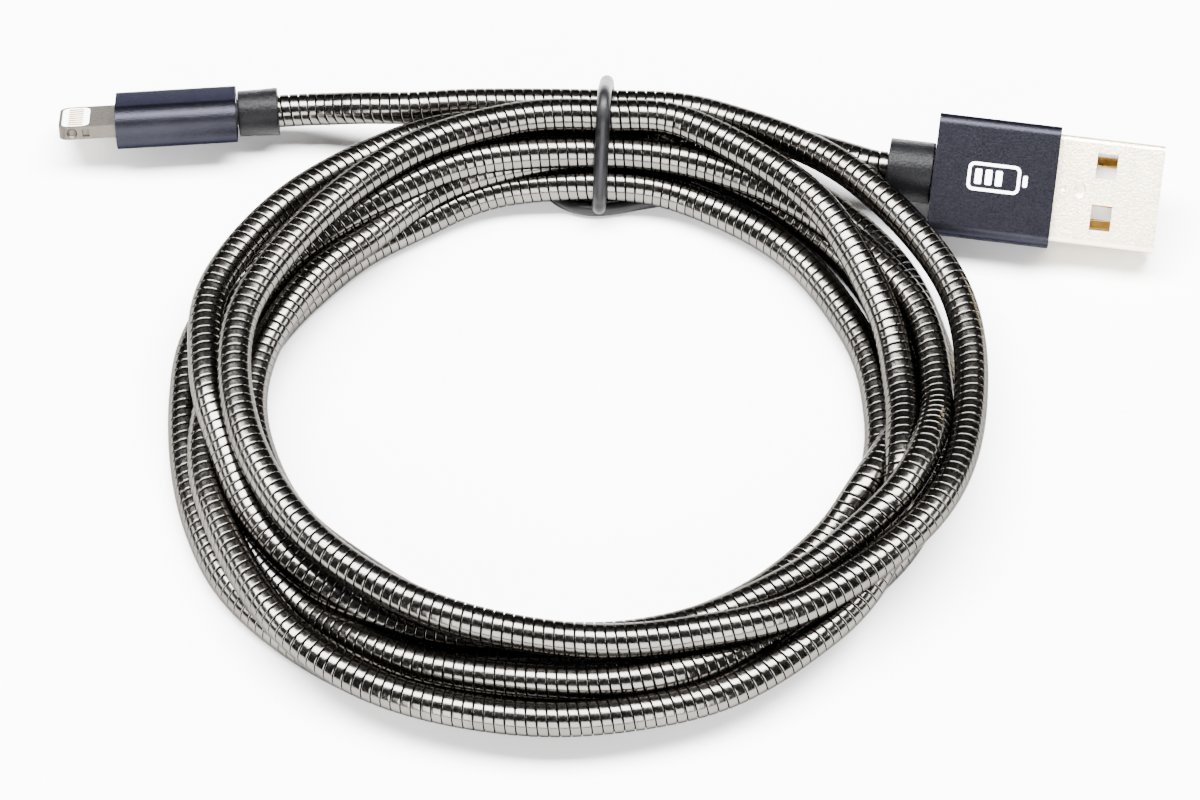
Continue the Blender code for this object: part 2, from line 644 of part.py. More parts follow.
def phone_tip(frame):
    """The steel tab, the white carrier through it and the contacts on both faces."""
    tab = tab_outline(PHONE_TIP_EXPOSED, PHONE_TIP_WIDTH, PHONE_TIP_CORNER, -PHONE_TIP_TAIL)
    carrier_front = PHONE_TIP_EXPOSED - PHONE_CARRIER_SETBACK
    carrier_middle = carrier_front - PHONE_CARRIER_LENGTH / 2
    window = [(carrier_middle + x, y) for x, y in rounded_outline(
        PHONE_CARRIER_LENGTH + 2 * SEAT_GAP, PHONE_CARRIER_WIDTH + 2 * SEAT_GAP,
        PHONE_CARRIER_CORNER + SEAT_GAP)]
    body = plate_mesh([tab, window], PHONE_TIP_THICKNESS)
    cutters = []
    for side in (-1, 1):
        edge = side * PHONE_TIP_WIDTH / 2
        notch_front = PHONE_TIP_EXPOSED - PHONE_NOTCH_FROM_TIP
        spread = PHONE_NOTCH_DEPTH
        height = PHONE_TIP_THICKNESS * PHONE_NOTCH_SHARE
        cutters.append(box_mesh((notch_front - PHONE_NOTCH_LENGTH, edge - spread, -height),
                                (notch_front, edge + spread, height)))
        cutters.append(detent_mesh(PHONE_TIP_EXPOSED - PHONE_DETENT_FROM_TIP, edge))
    body = cut(body, cutters)
    place("phone_tip", body, STEEL_TIP, frame)

    carrier = [(carrier_middle + x, y) for x, y in rounded_outline(
        PHONE_CARRIER_LENGTH, PHONE_CARRIER_WIDTH, PHONE_CARRIER_CORNER)]
    carrier_mesh = plate_mesh([carrier], PHONE_TIP_THICKNESS)
    pocket = PHONE_CONTACT_DEPTH
    pockets = []
    for face in (-1, 1):
        for index in range(PHONE_CONTACT_COUNT):
            side = (index - (PHONE_CONTACT_COUNT - 1) / 2) * PHONE_CONTACT_PITCH
            half = PHONE_CONTACT_WIDTH / 2 + SEAT_GAP
            reach = PHONE_CONTACT_LENGTH / 2 + SEAT_GAP
            levels = sorted((face * (PHONE_TIP_THICKNESS / 2 - pocket), face * PHONE_TIP_THICKNESS))
            pockets.append(box_mesh((carrier_middle - reach, side - half, levels[0]),
                                    (carrier_middle + reach, side + half, levels[1])))
    place("phone_carrier", cut(carrier_mesh, pockets), WHITE_PLASTIC, frame)

    for face, label in ((1, "upper"), (-1, "lower")):
        for index in range(PHONE_CONTACT_COUNT):
            side = (index - (PHONE_CONTACT_COUNT - 1) / 2) * PHONE_CONTACT_PITCH
            levels = sorted((face * (PHONE_TIP_THICKNESS / 2 - pocket + SEAT_GAP),
                             face * PHONE_TIP_THICKNESS / 2))
            low = (carrier_middle - PHONE_CONTACT_LENGTH / 2, side - PHONE_CONTACT_WIDTH / 2, levels[0])
            high = (carrier_middle + PHONE_CONTACT_LENGTH / 2, side + PHONE_CONTACT_WIDTH / 2, levels[1])
            place(f"phone_contact_{label}_{index + 1}", box_mesh(low, high), GOLD, frame)


def detent_mesh(along, edge):
    """The round tool that presses a detent into the tab's side."""
    mesh = bpy.data.meshes.new("detent")
    work = bmesh.new()
    size = Matrix.Diagonal((PHONE_DETENT_DIAMETER / 2 * MM, PHONE_DETENT_DEPTH * MM,
                            PHONE_DETENT_DIAMETER / 2 * MM, 1.0))
    bmesh.ops.create_uvsphere(work, u_segments=16, v_segments=8, radius=1.0,
                              matrix=Matrix.Translation((along * MM, edge * MM, 0.0)) @ size)
    work.to_mesh(mesh)
    work.free()
    return mesh


def tab_outline(front, width, corner, rear):
    """Return the outline of a flat tab with two round front corners."""
    points = []
    for step in range(CORNER_STEPS + 1):
        angle = math.radians(90 * step / CORNER_STEPS)
        points.append((front - corner + corner * math.cos(angle), width / 2 - corner + corner * math.sin(angle)))
    points.append((rear, width / 2))
    points.append((rear, -width / 2))
    for step in range(CORNER_STEPS + 1):
        angle = math.radians(270 + 90 * step / CORNER_STEPS)
        points.append((front - corner + corner * math.cos(angle), corner - width / 2 + corner * math.sin(angle)))
    return points


# ---- cable and tie ------------------------------------------------------------------------------

def lead(name, first, route):
    """A plain tube for a lead, from its collar to the coil."""
    points = [tuple(start + step for start, step in zip(first, steps)) for steps in route]
    mesh = tube_mesh(smooth_route([first, *points], CORD_SPACING), CABLE_DIAMETER)
    shade_round(place(name, mesh, ARMOUR))


def cable():
    """The wound length as one ring of its outer shape, and the two leads that leave it."""
    section = rounded_outline(COIL_SECTION_WIDTH, COIL_SECTION_HEIGHT, COIL_SECTION_CORNER)
    middle = COIL_SECTION_HEIGHT / 2 + COIL_FLOOR_GAP
    ring = turned_mesh([(COIL_RADIUS + x, middle + y) for x, y in reversed(section)], COIL_STEPS)
    ring.transform(Matrix.Diagonal((1.0, COIL_DEPTH_RATIO, 1.0, 1.0)))
    channel = box_mesh((TIE_CHANNEL_LEFT, 0.0, -TIE_CHANNEL_HEIGHT),
                       (TIE_CHANNEL_RIGHT, 2 * COIL_RADIUS, TIE_CHANNEL_HEIGHT))
    coil = shade_round(place("cable_coil", cut(ring, [channel]), ARMOUR))
    coil.location = Vector((*COIL_CENTRE, 0.0)) * MM
    lead("cable_phone_lead", collar_end(PHONE_MOUTH, PHONE_HEIGHT, PHONE_YAW,
                                        PHONE_BODY_LENGTH + PHONE_COLLAR_LENGTH), PHONE_LEAD_ROUTE)
    lead("cable_usb_lead", collar_end(USB_MOUTH, USB_HEIGHT, USB_YAW,
                                      USB_BODY_LENGTH + USB_COLLAR_LENGTH), USB_LEAD_ROUTE)


def tie():
    """The rubber loop around the bundle, with its origin on the bend's own upright axis."""
    reach = TIE_CLEARANCE + TIE_DIAMETER / 2
    wide = COIL_SECTION_WIDTH * COIL_DEPTH_RATIO / 2
    corner_wide = COIL_SECTION_CORNER * COIL_DEPTH_RATIO
    low = COIL_SECTION_CORNER + COIL_FLOOR_GAP
    high = COIL_SECTION_HEIGHT + COIL_FLOOR_GAP - COIL_SECTION_CORNER

    def around(side, sideways, level, angle):
        turn = math.radians(angle)
        outward = wide - corner_wide + (corner_wide + reach) * math.cos(turn)
        return (sideways, side * outward, level + (COIL_SECTION_CORNER + reach) * math.sin(turn))

    loop = list(TIE_FLOOR_ROUTE)
    loop += [around(1, TIE_BACK_SIDEWAYS, low, angle) for angle in (-24, 0)]
    loop += [around(1, TIE_BACK_SIDEWAYS, high, angle) for angle in (0, 30, 60, 90)]
    loop += [around(-1, TIE_FRONT_SIDEWAYS, high, angle) for angle in (90, 60, 30, 0)]
    loop += [around(-1, TIE_FRONT_SIDEWAYS, low, angle) for angle in (0, -24)]
    bend_radius = COIL_RADIUS / COIL_DEPTH_RATIO
    points = [(sideways, outward + bend_radius, up) for sideways, outward, up in loop]
    mesh = tube_mesh(smooth_route(points, TIE_SPACING, closed=True), TIE_DIAMETER, closed=True)
    ring = shade_round(place("tie", mesh, RUBBER))
    coil_x, coil_y = COIL_CENTRE
    ring.location = Vector((coil_x, coil_y + COIL_RADIUS * COIL_DEPTH_RATIO - bend_radius, 0.0)) * MM


USB_HEIGHT = resting_height(USB_BODY_WIDTH, USB_BODY_THICKNESS, USB_BODY_CORNER, USB_ROLL)
PHONE_HEIGHT = PHONE_LIFT + resting_height(PHONE_BODY_WIDTH, PHONE_BODY_THICKNESS,
                                           PHONE_BODY_CORNER, PHONE_ROLL)

usb_plug()
phone_plug()
cable()
tie()
bpy.context.view_layer.update()
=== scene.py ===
"""A charging cable lying coiled on a white table: steel-armoured cord, USB plug, phone plug and rubber tie.

The cord's six turns follow listed lanes around an oval, and are then settled against each other and
the table. The armour is one steel strip wound along that route. The plugs are refined copies of the
solids. Lengths in this file are millimetres unless a name says otherwise.
"""

from __future__ import annotations

import json
import logging
import math
from dataclasses import dataclass, field
from enum import Enum
from typing import Sequence

import bmesh
import bpy
import numpy as np
from mathutils import Matrix, Vector

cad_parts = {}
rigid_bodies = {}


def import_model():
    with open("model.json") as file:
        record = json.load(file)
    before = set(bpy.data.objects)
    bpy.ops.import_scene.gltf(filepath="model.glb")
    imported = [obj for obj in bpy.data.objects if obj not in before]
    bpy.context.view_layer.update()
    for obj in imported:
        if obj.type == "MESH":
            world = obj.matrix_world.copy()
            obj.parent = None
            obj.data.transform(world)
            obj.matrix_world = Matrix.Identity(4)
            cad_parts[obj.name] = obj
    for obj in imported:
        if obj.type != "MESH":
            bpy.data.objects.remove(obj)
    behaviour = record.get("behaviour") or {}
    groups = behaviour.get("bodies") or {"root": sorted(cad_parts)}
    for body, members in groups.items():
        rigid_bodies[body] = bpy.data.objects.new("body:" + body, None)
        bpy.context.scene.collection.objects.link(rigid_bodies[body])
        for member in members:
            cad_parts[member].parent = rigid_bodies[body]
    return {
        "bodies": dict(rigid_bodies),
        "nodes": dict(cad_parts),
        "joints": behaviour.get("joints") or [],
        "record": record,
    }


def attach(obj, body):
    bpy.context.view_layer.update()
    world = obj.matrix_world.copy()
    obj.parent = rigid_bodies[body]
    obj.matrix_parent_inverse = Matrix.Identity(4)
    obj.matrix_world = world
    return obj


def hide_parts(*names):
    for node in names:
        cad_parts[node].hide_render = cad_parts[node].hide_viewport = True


log = logging.getLogger("charging_cable")

MM = 0.001


# ---- shared sizes -------------------------------------------------------------------------------


@dataclass(frozen=True)
class CordSizes:
    """The armoured cord.

    Args:
        diameter: Outside of the wound strip.
        pitch: Distance along the cord from one winding to the next.
        strip_width: Width of the strip, which leaves the dark gap between windings.
        core_diameter: The dark hose that shows in the gaps.
        edge_drop: How far the strip's edges turn down towards the core.
        around: Vertices around one winding.
        columns: Vertices across the strip.
        sections: Pieces that the winding is made in.
    """

    diameter: float = 3.7
    pitch: float = 1.08
    strip_width: float = 1.0
    core_diameter: float = 3.2
    edge_drop: float = 0.2
    around: int = 24
    columns: int = 11
    sections: int = 6


@dataclass(frozen=True)
class PlugFrame:
    """Where a plug is.

    Args:
        mouth: The middle of its body's mouth face.
        roll: Its roll about its own axis, in degrees.
        yaw: Its direction on the table, in degrees.
        back: Distance from the mouth face to the end of its collar.
    """

    mouth: tuple[float, float, float]
    roll: float
    yaw: float
    back: float

    def matrix(self) -> Matrix:
        """Returns:
            The plug's own frame in metres, with +X out of its mouth and +Z out of its upper face.
        """
        yaw = Matrix.Rotation(math.radians(self.yaw), 4, "Z")
        roll = Matrix.Rotation(math.radians(self.roll), 4, "X")
        return Matrix.Translation(Vector(self.mouth) * MM) @ yaw @ roll

    def axis_point(self, behind: float) -> np.ndarray:
        """Args:
            behind: Distance behind the mouth face.

        Returns:
            The point on the plug's own axis, in millimetres.
        """
        turn = math.radians(self.yaw)
        return np.array(self.mouth) - behind * np.array([math.cos(turn), math.sin(turn), 0.0])


@dataclass(frozen=True)
class TieSizes:
    """The rubber tie.

    Args:
        thickness: Its thickness.
        x: The plane it is in.
        far_side: It is on the far side of this Y.
        cord_gap: Room between it and the cord.
        table_gap: Room between it and the table.
        lean_start: How far to the left of its plane its near side is.
        lean: How far it leans to the right on its way to the far side.
    """

    thickness: float = 1.6
    x: float = -0.46
    far_side: float = -10.0
    cord_gap: float = 0.05
    table_gap: float = 0.02
    lean_start: float = -0.5
    lean: float = 1.1


CORD = CordSizes()
USB_FRAME = PlugFrame(mouth=(50.30, -4.51, 6.282), roll=36.0, yaw=-8.8, back=18.9)
PHONE_FRAME = PlugFrame(mouth=(-56.11, 6.98, 4.228), roll=30.0, yaw=184.4, back=18.5)
COIL_CENTRE = (-4.05, -32.81)
COIL_RADII = (38.4, 35.4)
TIE = TieSizes()


# ---- node graphs --------------------------------------------------------------------------------


class Socket:
    """A node output that can be used in arithmetic."""

    def __init__(self, graph: "Graph", link: bpy.types.NodeSocket) -> None:
        """Keep what it is made from."""
        self.graph = graph
        self.link = link

    def _math(self, operation: str, *others: "Socket | float") -> "Socket":
        """Args:
            operation: The arithmetic that is done.
            others: What follows this value in it.

        Returns:
            The result.
        """
        return self.graph.node("ShaderNodeMath", {"operation": operation},
                               dict(enumerate((self, *others))))

    def __add__(self, other: "Socket | float") -> "Socket":
        """Return the sum."""
        return self._math("ADD", other)

    def __sub__(self, other: "Socket | float") -> "Socket":
        """Return the difference."""
        return self._math("SUBTRACT", other)

    def __mul__(self, other: "Socket | float") -> "Socket":
        """Return the product."""
        return self._math("MULTIPLY", other)

    def __truediv__(self, other: "Socket | float") -> "Socket":
        """Return the quotient."""
        return self._math("DIVIDE", other)

    def __pow__(self, other: "Socket | float") -> "Socket":
        """Return the power."""
        return self._math("POWER", other)

    __radd__ = __add__
    __rmul__ = __mul__

    def __rsub__(self, whole: float) -> "Socket":
        """Return a number minus this value."""
        return (self * -1.0) + whole

    def size(self) -> "Socket":
        """Return the value without its sign."""
        return self._math("ABSOLUTE")

    def sign(self) -> "Socket":
        """Return -1, 0 or 1."""
        return self._math("SIGN")

    def sine(self) -> "Socket":
        """Return the sine."""
        return self._math("SINE")

    def cosine(self) -> "Socket":
        """Return the cosine."""
        return self._math("COSINE")

    def floor(self) -> "Socket":
        """Return the whole number below."""
        return self._math("FLOOR")

    def stretched(self, low: float, high: float, new_low: float = 0.0, new_high: float = 1.0) -> "Socket":
        """Return the value mapped from one range to another and clamped to it."""
        return self.graph.node("ShaderNodeMapRange", {"clamp": True},
                               {"Value": self, "From Min": low, "From Max": high,
                                "To Min": new_low, "To Max": new_high})


class Graph:
    """A node tree that is written as calls."""

    def __init__(self, tree: bpy.types.NodeTree) -> None:
        """Keep what it is made from."""
        self.tree = tree

    def node(self, kind: str, settings: dict | None = None, values: dict | None = None,
             output: int | str = 0) -> Socket:
        """Add one node.

        Args:
            kind: Node type.
            settings: Attributes set on the node.
            values: Input values or sockets, by input name or number.
            output: The output that is returned.

        Returns:
            The chosen output.
        """
        made = self.tree.nodes.new(kind)
        for name, value in (settings or {}).items():
            setattr(made, name, value)
        for name, value in (values or {}).items():
            target = made.inputs[name]
            if isinstance(value, Socket):
                self.tree.links.new(value.link, target)
            else:
                target.default_value = value
        return Socket(self, made.outputs[output])


Colour = tuple[float, float, float]


class Finish:
    """A procedural material, made once and shared."""

    name = "finish"
    NOISE_RANGE = (0.3, 0.7)

    def __init__(self) -> None:
        """Start without the material, which is built when it is first asked for."""
        self.made: bpy.types.Material | None = None

    def material(self) -> bpy.types.Material:
        """Returns:
            The material, built on the first call.
        """
        if self.made is None:
            self.made = bpy.data.materials.new(self.name)
            self.made.use_nodes = True
            tree = self.made.node_tree
            shader = tree.nodes["Principled BSDF"]
            self.paint(Graph(tree), shader)
        return self.made

    def paint(self, graph: Graph, shader: bpy.types.Node) -> None:
        """Fill the shader's sockets.

        Args:
            graph: The material's node tree.
            shader: Its shader.
        """
        raise NotImplementedError

    @staticmethod
    def feed(graph: Graph, shader: bpy.types.Node, **sockets: Socket | float | tuple) -> None:
        """Set or link the shader's inputs.

        Args:
            graph: The material's node tree.
            shader: Its shader.
            sockets: Values by input name, with underscores for spaces.
        """
        for name, value in sockets.items():
            target = shader.inputs[name.replace("_", " ")]
            if isinstance(value, Socket):
                graph.tree.links.new(value.link, target)
            else:
                target.default_value = value

    @staticmethod
    def noise(graph: Graph, size_mm: float, detail: float = 3.0, roughness: float = 0.55) -> Socket:
        """Make 3-D noise over the finished piece.

        Args:
            graph: The material's node tree.
            size_mm: About how wide the lumps are.
            detail: Octaves.
            roughness: How strong the finer octaves are.

        Returns:
            The noise.
        """
        place = graph.node("ShaderNodeTexCoord", output="Object")
        return graph.node("ShaderNodeTexNoise", None,
                          {"Vector": place, "Scale": 1.0 / (size_mm * MM),
                           "Detail": detail, "Roughness": roughness})

    @staticmethod
    def blend(graph: Graph, factor: Socket, first: Colour, second: Colour) -> Socket:
        """Args:
            graph: The material's node tree.
            factor: 0 for the first colour, 1 for the second.
            first: A colour.
            second: Another colour.

        Returns:
            The colour between them.
        """
        return graph.node("ShaderNodeMix", {"data_type": "RGBA"},
                          {0: factor, 6: (*first, 1.0), 7: (*second, 1.0)}, output=2)

    @staticmethod
    def bump(graph: Graph, height: Socket, depth_mm: float, strength: float = 1.0) -> Socket:
        """Args:
            graph: The material's node tree.
            height: The height field.
            depth_mm: Height of its highest point.
            strength: Share of the effect.

        Returns:
            The bent normal.
        """
        return graph.node("ShaderNodeBump", None,
                          {"Height": height, "Distance": depth_mm * MM, "Strength": strength})

    def uneven(self, mask: Socket, least: float, most: float) -> Socket:
        """Args:
            mask: Noise.
            least: Roughness where the noise is low.
            most: Roughness where it is high.

        Returns:
            The roughness.
        """
        return mask.stretched(*self.NOISE_RANGE, least, most)


class ArmourFinish(Finish):
    """Polished black-nickel steel strip, with a slightly different tone on each winding."""

    name = "armour_steel"
    DARK = (0.070, 0.066, 0.061)
    LIGHT = (0.105, 0.099, 0.092)
    TINT = (0.35, 0.35, 0.35, 1.0)
    WEAR_MM = 1.4
    SMEAR_MM = 0.35
    SCRATCH_MM = 0.08
    TONE_SHARE = 0.55

    def paint(self, graph: Graph, shader: bpy.types.Node) -> None:
        """Fill the shader's sockets.

        Args:
            graph: The material's node tree.
            shader: Its shader.
        """
        winding = graph.node("ShaderNodeAttribute", {"attribute_name": "winding"}, output="Fac")
        tone = graph.node("ShaderNodeTexWhiteNoise", {"noise_dimensions": "1D"}, {"W": winding.floor()})
        wear = self.noise(graph, self.WEAR_MM, 4.0)
        mask = (tone * self.TONE_SHARE) + (wear * (1.0 - self.TONE_SHARE))
        smear = self.noise(graph, self.SMEAR_MM)
        scratches = self.noise(graph, self.SCRATCH_MM, 2.0)
        self.feed(graph, shader, Base_Color=self.blend(graph, mask, self.DARK, self.LIGHT), Metallic=1.0,
                  Roughness=smear.stretched(0.35, 0.75, 0.14, 0.24), Specular_Tint=self.TINT,
                  Normal=self.bump(graph, scratches, 0.004, 0.4))


class CoreFinish(Finish):
    """The dark hose seen in the gaps between windings."""

    name = "cord_core"
    DARK = (0.0008, 0.0008, 0.0008)
    LIGHT = (0.002, 0.002, 0.002)
    GRIME_MM = 0.6

    def paint(self, graph: Graph, shader: bpy.types.Node) -> None:
        """Fill the shader's sockets.

        Args:
            graph: The material's node tree.
            shader: Its shader.
        """
        grime = self.noise(graph, self.GRIME_MM)
        self.feed(graph, shader, Base_Color=self.blend(graph, grime, self.DARK, self.LIGHT),
                  Roughness=self.uneven(grime, 0.6, 0.85), Specular_IOR_Level=0.02)


class AnodisedFinish(Finish):
    """Dark blue-black anodised aluminium with a fine blasted grain."""

    name = "anodised_aluminium"
    DARK = (0.0075, 0.0075, 0.0100)
    LIGHT = (0.0175, 0.0175, 0.0225)
    TINT = (0.42, 0.42, 0.44, 1.0)
    GRAIN_MM = 0.20
    CLOUD_MM = 2.5
    GRAIN_SHARE = 0.7

    def paint(self, graph: Graph, shader: bpy.types.Node) -> None:
        """Fill the shader's sockets.

        Args:
            graph: The material's node tree.
            shader: Its shader.
        """
        grain = self.noise(graph, self.GRAIN_MM, 2.0, 0.6)
        cloud = self.noise(graph, self.CLOUD_MM)
        mask = (grain * self.GRAIN_SHARE) + (cloud * (1.0 - self.GRAIN_SHARE))
        self.feed(graph, shader, Base_Color=self.blend(graph, mask, self.DARK, self.LIGHT), Metallic=1.0,
                  Specular_Tint=self.TINT, Roughness=self.uneven(grain, 0.34, 0.46),
                  Normal=self.bump(graph, grain, 0.035, 0.8))


class MouldedFinish(Finish):
    """Black moulded plastic with a coarser grain."""

    name = "moulded_plastic"
    DARK = (0.0010, 0.0010, 0.0014)
    LIGHT = (0.0030, 0.0030, 0.0037)
    GRAIN_MM = 0.26

    def paint(self, graph: Graph, shader: bpy.types.Node) -> None:
        """Fill the shader's sockets.

        Args:
            graph: The material's node tree.
            shader: Its shader.
        """
        grain = self.noise(graph, self.GRAIN_MM, 2.0, 0.6)
        self.feed(graph, shader, Base_Color=self.blend(graph, grain, self.DARK, self.LIGHT), IOR=1.18,
                  Roughness=self.uneven(grain, 0.32, 0.52), Normal=self.bump(graph, grain, 0.07, 0.9))


class MetalFinish(Finish):
    """Satin metal with a speckle.

    Args:
        name: Material name.
        light: Its lighter colour.
        dark: Its darker colour.
    """

    TINT = (0.5, 0.5, 0.5, 1.0)
    SPECKLE_MM = 0.30
    CLOUD_MM = 1.8

    def __init__(self, name: str, light: Colour, dark: Colour) -> None:
        """Keep what it is made from."""
        super().__init__()
        self.name = name
        self.light = light
        self.dark = dark

    def paint(self, graph: Graph, shader: bpy.types.Node) -> None:
        """Fill the shader's sockets.

        Args:
            graph: The material's node tree.
            shader: Its shader.
        """
        speckle = self.noise(graph, self.SPECKLE_MM, 3.0, 0.65)
        mask = (speckle * 0.5) + (self.noise(graph, self.CLOUD_MM) * 0.5)
        self.feed(graph, shader, Base_Color=self.blend(graph, mask, self.dark, self.light), Metallic=1.0,
                  Specular_Tint=self.TINT, Roughness=self.uneven(speckle, 0.36, 0.52),
                  Normal=self.bump(graph, speckle, 0.08, 1.0))


class GoldFinish(Finish):
    """Gold plate on the contacts."""

    name = "gold_plate"
    DARK = (0.32, 0.165, 0.028)
    LIGHT = (0.44, 0.25, 0.055)
    TINT = (0.4, 0.3, 0.12, 1.0)
    SMEAR_MM = 1.2

    def paint(self, graph: Graph, shader: bpy.types.Node) -> None:
        """Fill the shader's sockets.

        Args:
            graph: The material's node tree.
            shader: Its shader.
        """
        smear = self.noise(graph, self.SMEAR_MM)
        self.feed(graph, shader, Base_Color=self.blend(graph, smear, self.DARK, self.LIGHT), Metallic=1.0,
                  Specular_Tint=self.TINT, Roughness=self.uneven(smear, 0.22, 0.34))


class PlasticFinish(Finish):
    """Smooth coloured plastic.

    Args:
        name: Material name.
        low: Its darker colour.
        high: Its lighter colour.
        roughness: Its least roughness.
    """

    CLOUD_MM = 0.7
    ROUGHNESS_SPREAD = 0.12

    def __init__(self, name: str, low: Colour, high: Colour, roughness: float) -> None:
        """Keep what it is made from."""
        super().__init__()
        self.name = name
        self.low = low
        self.high = high
        self.roughness = roughness

    def paint(self, graph: Graph, shader: bpy.types.Node) -> None:
        """Fill the shader's sockets.

        Args:
            graph: The material's node tree.
            shader: Its shader.
        """
        cloud = self.noise(graph, self.CLOUD_MM)
        rough = self.uneven(cloud, self.roughness, self.roughness + self.ROUGHNESS_SPREAD)
        self.feed(graph, shader, Base_Color=self.blend(graph, cloud, self.low, self.high),
                  Roughness=rough, Normal=self.bump(graph, cloud, 0.01, 0.3))


class RubberFinish(Finish):
    """Black rubber with a dusty bloom."""

    name = "tie_rubber"
    DARK = (0.0012, 0.0012, 0.0015)
    LIGHT = (0.0035, 0.0035, 0.0042)
    BLOOM_MM = 1.6
    GRAIN_MM = 0.15

    def paint(self, graph: Graph, shader: bpy.types.Node) -> None:
        """Fill the shader's sockets.

        Args:
            graph: The material's node tree.
            shader: Its shader.
        """
        bloom = self.noise(graph, self.BLOOM_MM, 4.0)
        grain = self.noise(graph, self.GRAIN_MM)
        colour = self.blend(graph, bloom.stretched(0.35, 0.7), self.DARK, self.LIGHT)
        self.feed(graph, shader, Base_Color=colour, Specular_IOR_Level=0.18,
                  Roughness=self.uneven(bloom, 0.34, 0.5), Normal=self.bump(graph, grain, 0.02, 0.4))


class TableFinish(Finish):
    """A white table with a faint mottling."""

    name = "white_table"
    DARK = (0.90, 0.90, 0.90)
    LIGHT = (0.93, 0.93, 0.93)
    CLOUD_MM = 40.0

    def paint(self, graph: Graph, shader: bpy.types.Node) -> None:
        """Fill the shader's sockets.

        Args:
            graph: The material's node tree.
            shader: Its shader.
        """
        cloud = self.noise(graph, self.CLOUD_MM)
        self.feed(graph, shader, Base_Color=self.blend(graph, cloud, self.DARK, self.LIGHT),
                  Roughness=self.uneven(cloud, 0.7, 0.8), Specular_IOR_Level=0.1)


def metal(name: str, light: Colour, dark: Colour) -> Finish:
    """Args:
        name: Material name.
        light: Its lighter colour.
        dark: Its darker colour.

    Returns:
        A dataclass field that makes the finish.
    """
    return field(default_factory=lambda: MetalFinish(name, light, dark))


def plastic(name: str, low: Colour, high: Colour, roughness: float) -> Finish:
    """Args:
        name: Material name.
        low: Its darker colour.
        high: Its lighter colour.
        roughness: Its least roughness.

    Returns:
        A dataclass field that makes the finish.
    """
    return field(default_factory=lambda: PlasticFinish(name, low, high, roughness))


@dataclass(frozen=True)
class Finishes:
    """Every finish on the object."""

    armour: Finish = field(default_factory=ArmourFinish)
    core: Finish = field(default_factory=CoreFinish)
    anodised: Finish = field(default_factory=AnodisedFinish)
    moulded: Finish = field(default_factory=MouldedFinish)
    nickel: Finish = metal("nickel_plate", (0.95, 0.84, 0.65), (0.52, 0.45, 0.33))
    tip: Finish = metal("tip_steel", (0.085, 0.075, 0.064), (0.050, 0.045, 0.038))
    gold: Finish = field(default_factory=GoldFinish)
    white: Finish = plastic("white_plastic", (0.80, 0.80, 0.79), (0.9, 0.9, 0.9), 0.3)
    print_ink: Finish = plastic("white_print", (0.84, 0.84, 0.85), (0.93, 0.93, 0.93), 0.45)
    board: Finish = plastic("circuit_board", (0.01, 0.11, 0.04), (0.02, 0.17, 0.07), 0.35)
    chip: Finish = plastic("chip_plastic", (0.02, 0.02, 0.02), (0.04, 0.04, 0.04), 0.4)
    jacket: Finish = plastic("inner_jacket", (0.015, 0.015, 0.015), (0.03, 0.03, 0.03), 0.5)
    crimp: Finish = metal("crimp_metal", (0.72, 0.72, 0.71), (0.5, 0.5, 0.49))
    red: Finish = plastic("wire_red", (0.5, 0.02, 0.02), (0.65, 0.04, 0.03), 0.35)
    pale: Finish = plastic("wire_white", (0.78, 0.78, 0.76), (0.88, 0.88, 0.86), 0.35)
    green: Finish = plastic("wire_green", (0.03, 0.28, 0.07), (0.05, 0.4, 0.12), 0.35)
    black: Finish = plastic("wire_black", (0.02, 0.02, 0.02), (0.04, 0.04, 0.04), 0.35)
    rubber: Finish = field(default_factory=RubberFinish)


# ---- mesh helpers -------------------------------------------------------------------------------


def link(name: str, data: bpy.types.ID) -> bpy.types.Object:
    """Args:
        name: Object name.
        data: What the object shows.

    Returns:
        A new object in the scene.
    """
    made = bpy.data.objects.new(name, data)
    bpy.context.scene.collection.objects.link(made)
    return made


def evaluated(holder: bpy.types.Object, name: str) -> bpy.types.Object:
    """Replace a modified object by a plain mesh object.

    Args:
        holder: The object with its modifiers, which is removed.
        name: The new object's name.

    Returns:
        The plain mesh object.
    """
    bpy.context.view_layer.update()
    graph = bpy.context.evaluated_depsgraph_get()
    mesh = bpy.data.meshes.new_from_object(holder.evaluated_get(graph), depsgraph=graph)
    bpy.data.objects.remove(holder, do_unlink=True)
    mesh.name = name
    return link(name, mesh)


def smooth_through(values: np.ndarray, steps: int) -> np.ndarray:
    """Args:
        values: Rows that the curve passes through.
        steps: Points made from each row to the next.

    Returns:
        The curve's rows.
    """
    padded = np.vstack([2 * values[0] - values[1], values, 2 * values[-1] - values[-2]])
    share = np.linspace(0, 1, steps, endpoint=False)[:, None]
    spans = []
    for before, start, end, after in zip(padded, padded[1:], padded[2:], padded[3:]):
        spans.append(0.5 * (2 * start + (end - before) * share
                            + (2 * before - 5 * start + 4 * end - after) * share ** 2
                            + (3 * start - before - 3 * end + after) * share ** 3))
    return np.vstack([*spans, values[-1:]])


def curve_object(name: str, points: np.ndarray, radius: float = 0.0, closed: bool = False,
                 resolution: int = 4) -> bpy.types.Object:
    """Args:
        name: Object name.
        points: Centre line in millimetres.
        radius: Tube radius in millimetres, or 0 for a bare line.
        closed: Whether the last point joins the first.
        resolution: Bevel resolution.

    Returns:
        A curve object in metres.
    """
    curve = bpy.data.curves.new(name, "CURVE")
    curve.dimensions = "3D"
    curve.bevel_depth = radius * MM
    curve.bevel_resolution = resolution
    curve.use_fill_caps = radius > 0 and not closed
    spline = curve.splines.new("POLY")
    spline.points.add(len(points) - 1)
    flat = np.ones((len(points), 4))
    flat[:, :3] = np.asarray(points) * MM
    spline.points.foreach_set("co", flat.ravel())
    spline.use_cyclic_u = closed
    spline.use_smooth = True
    return link(name, curve)


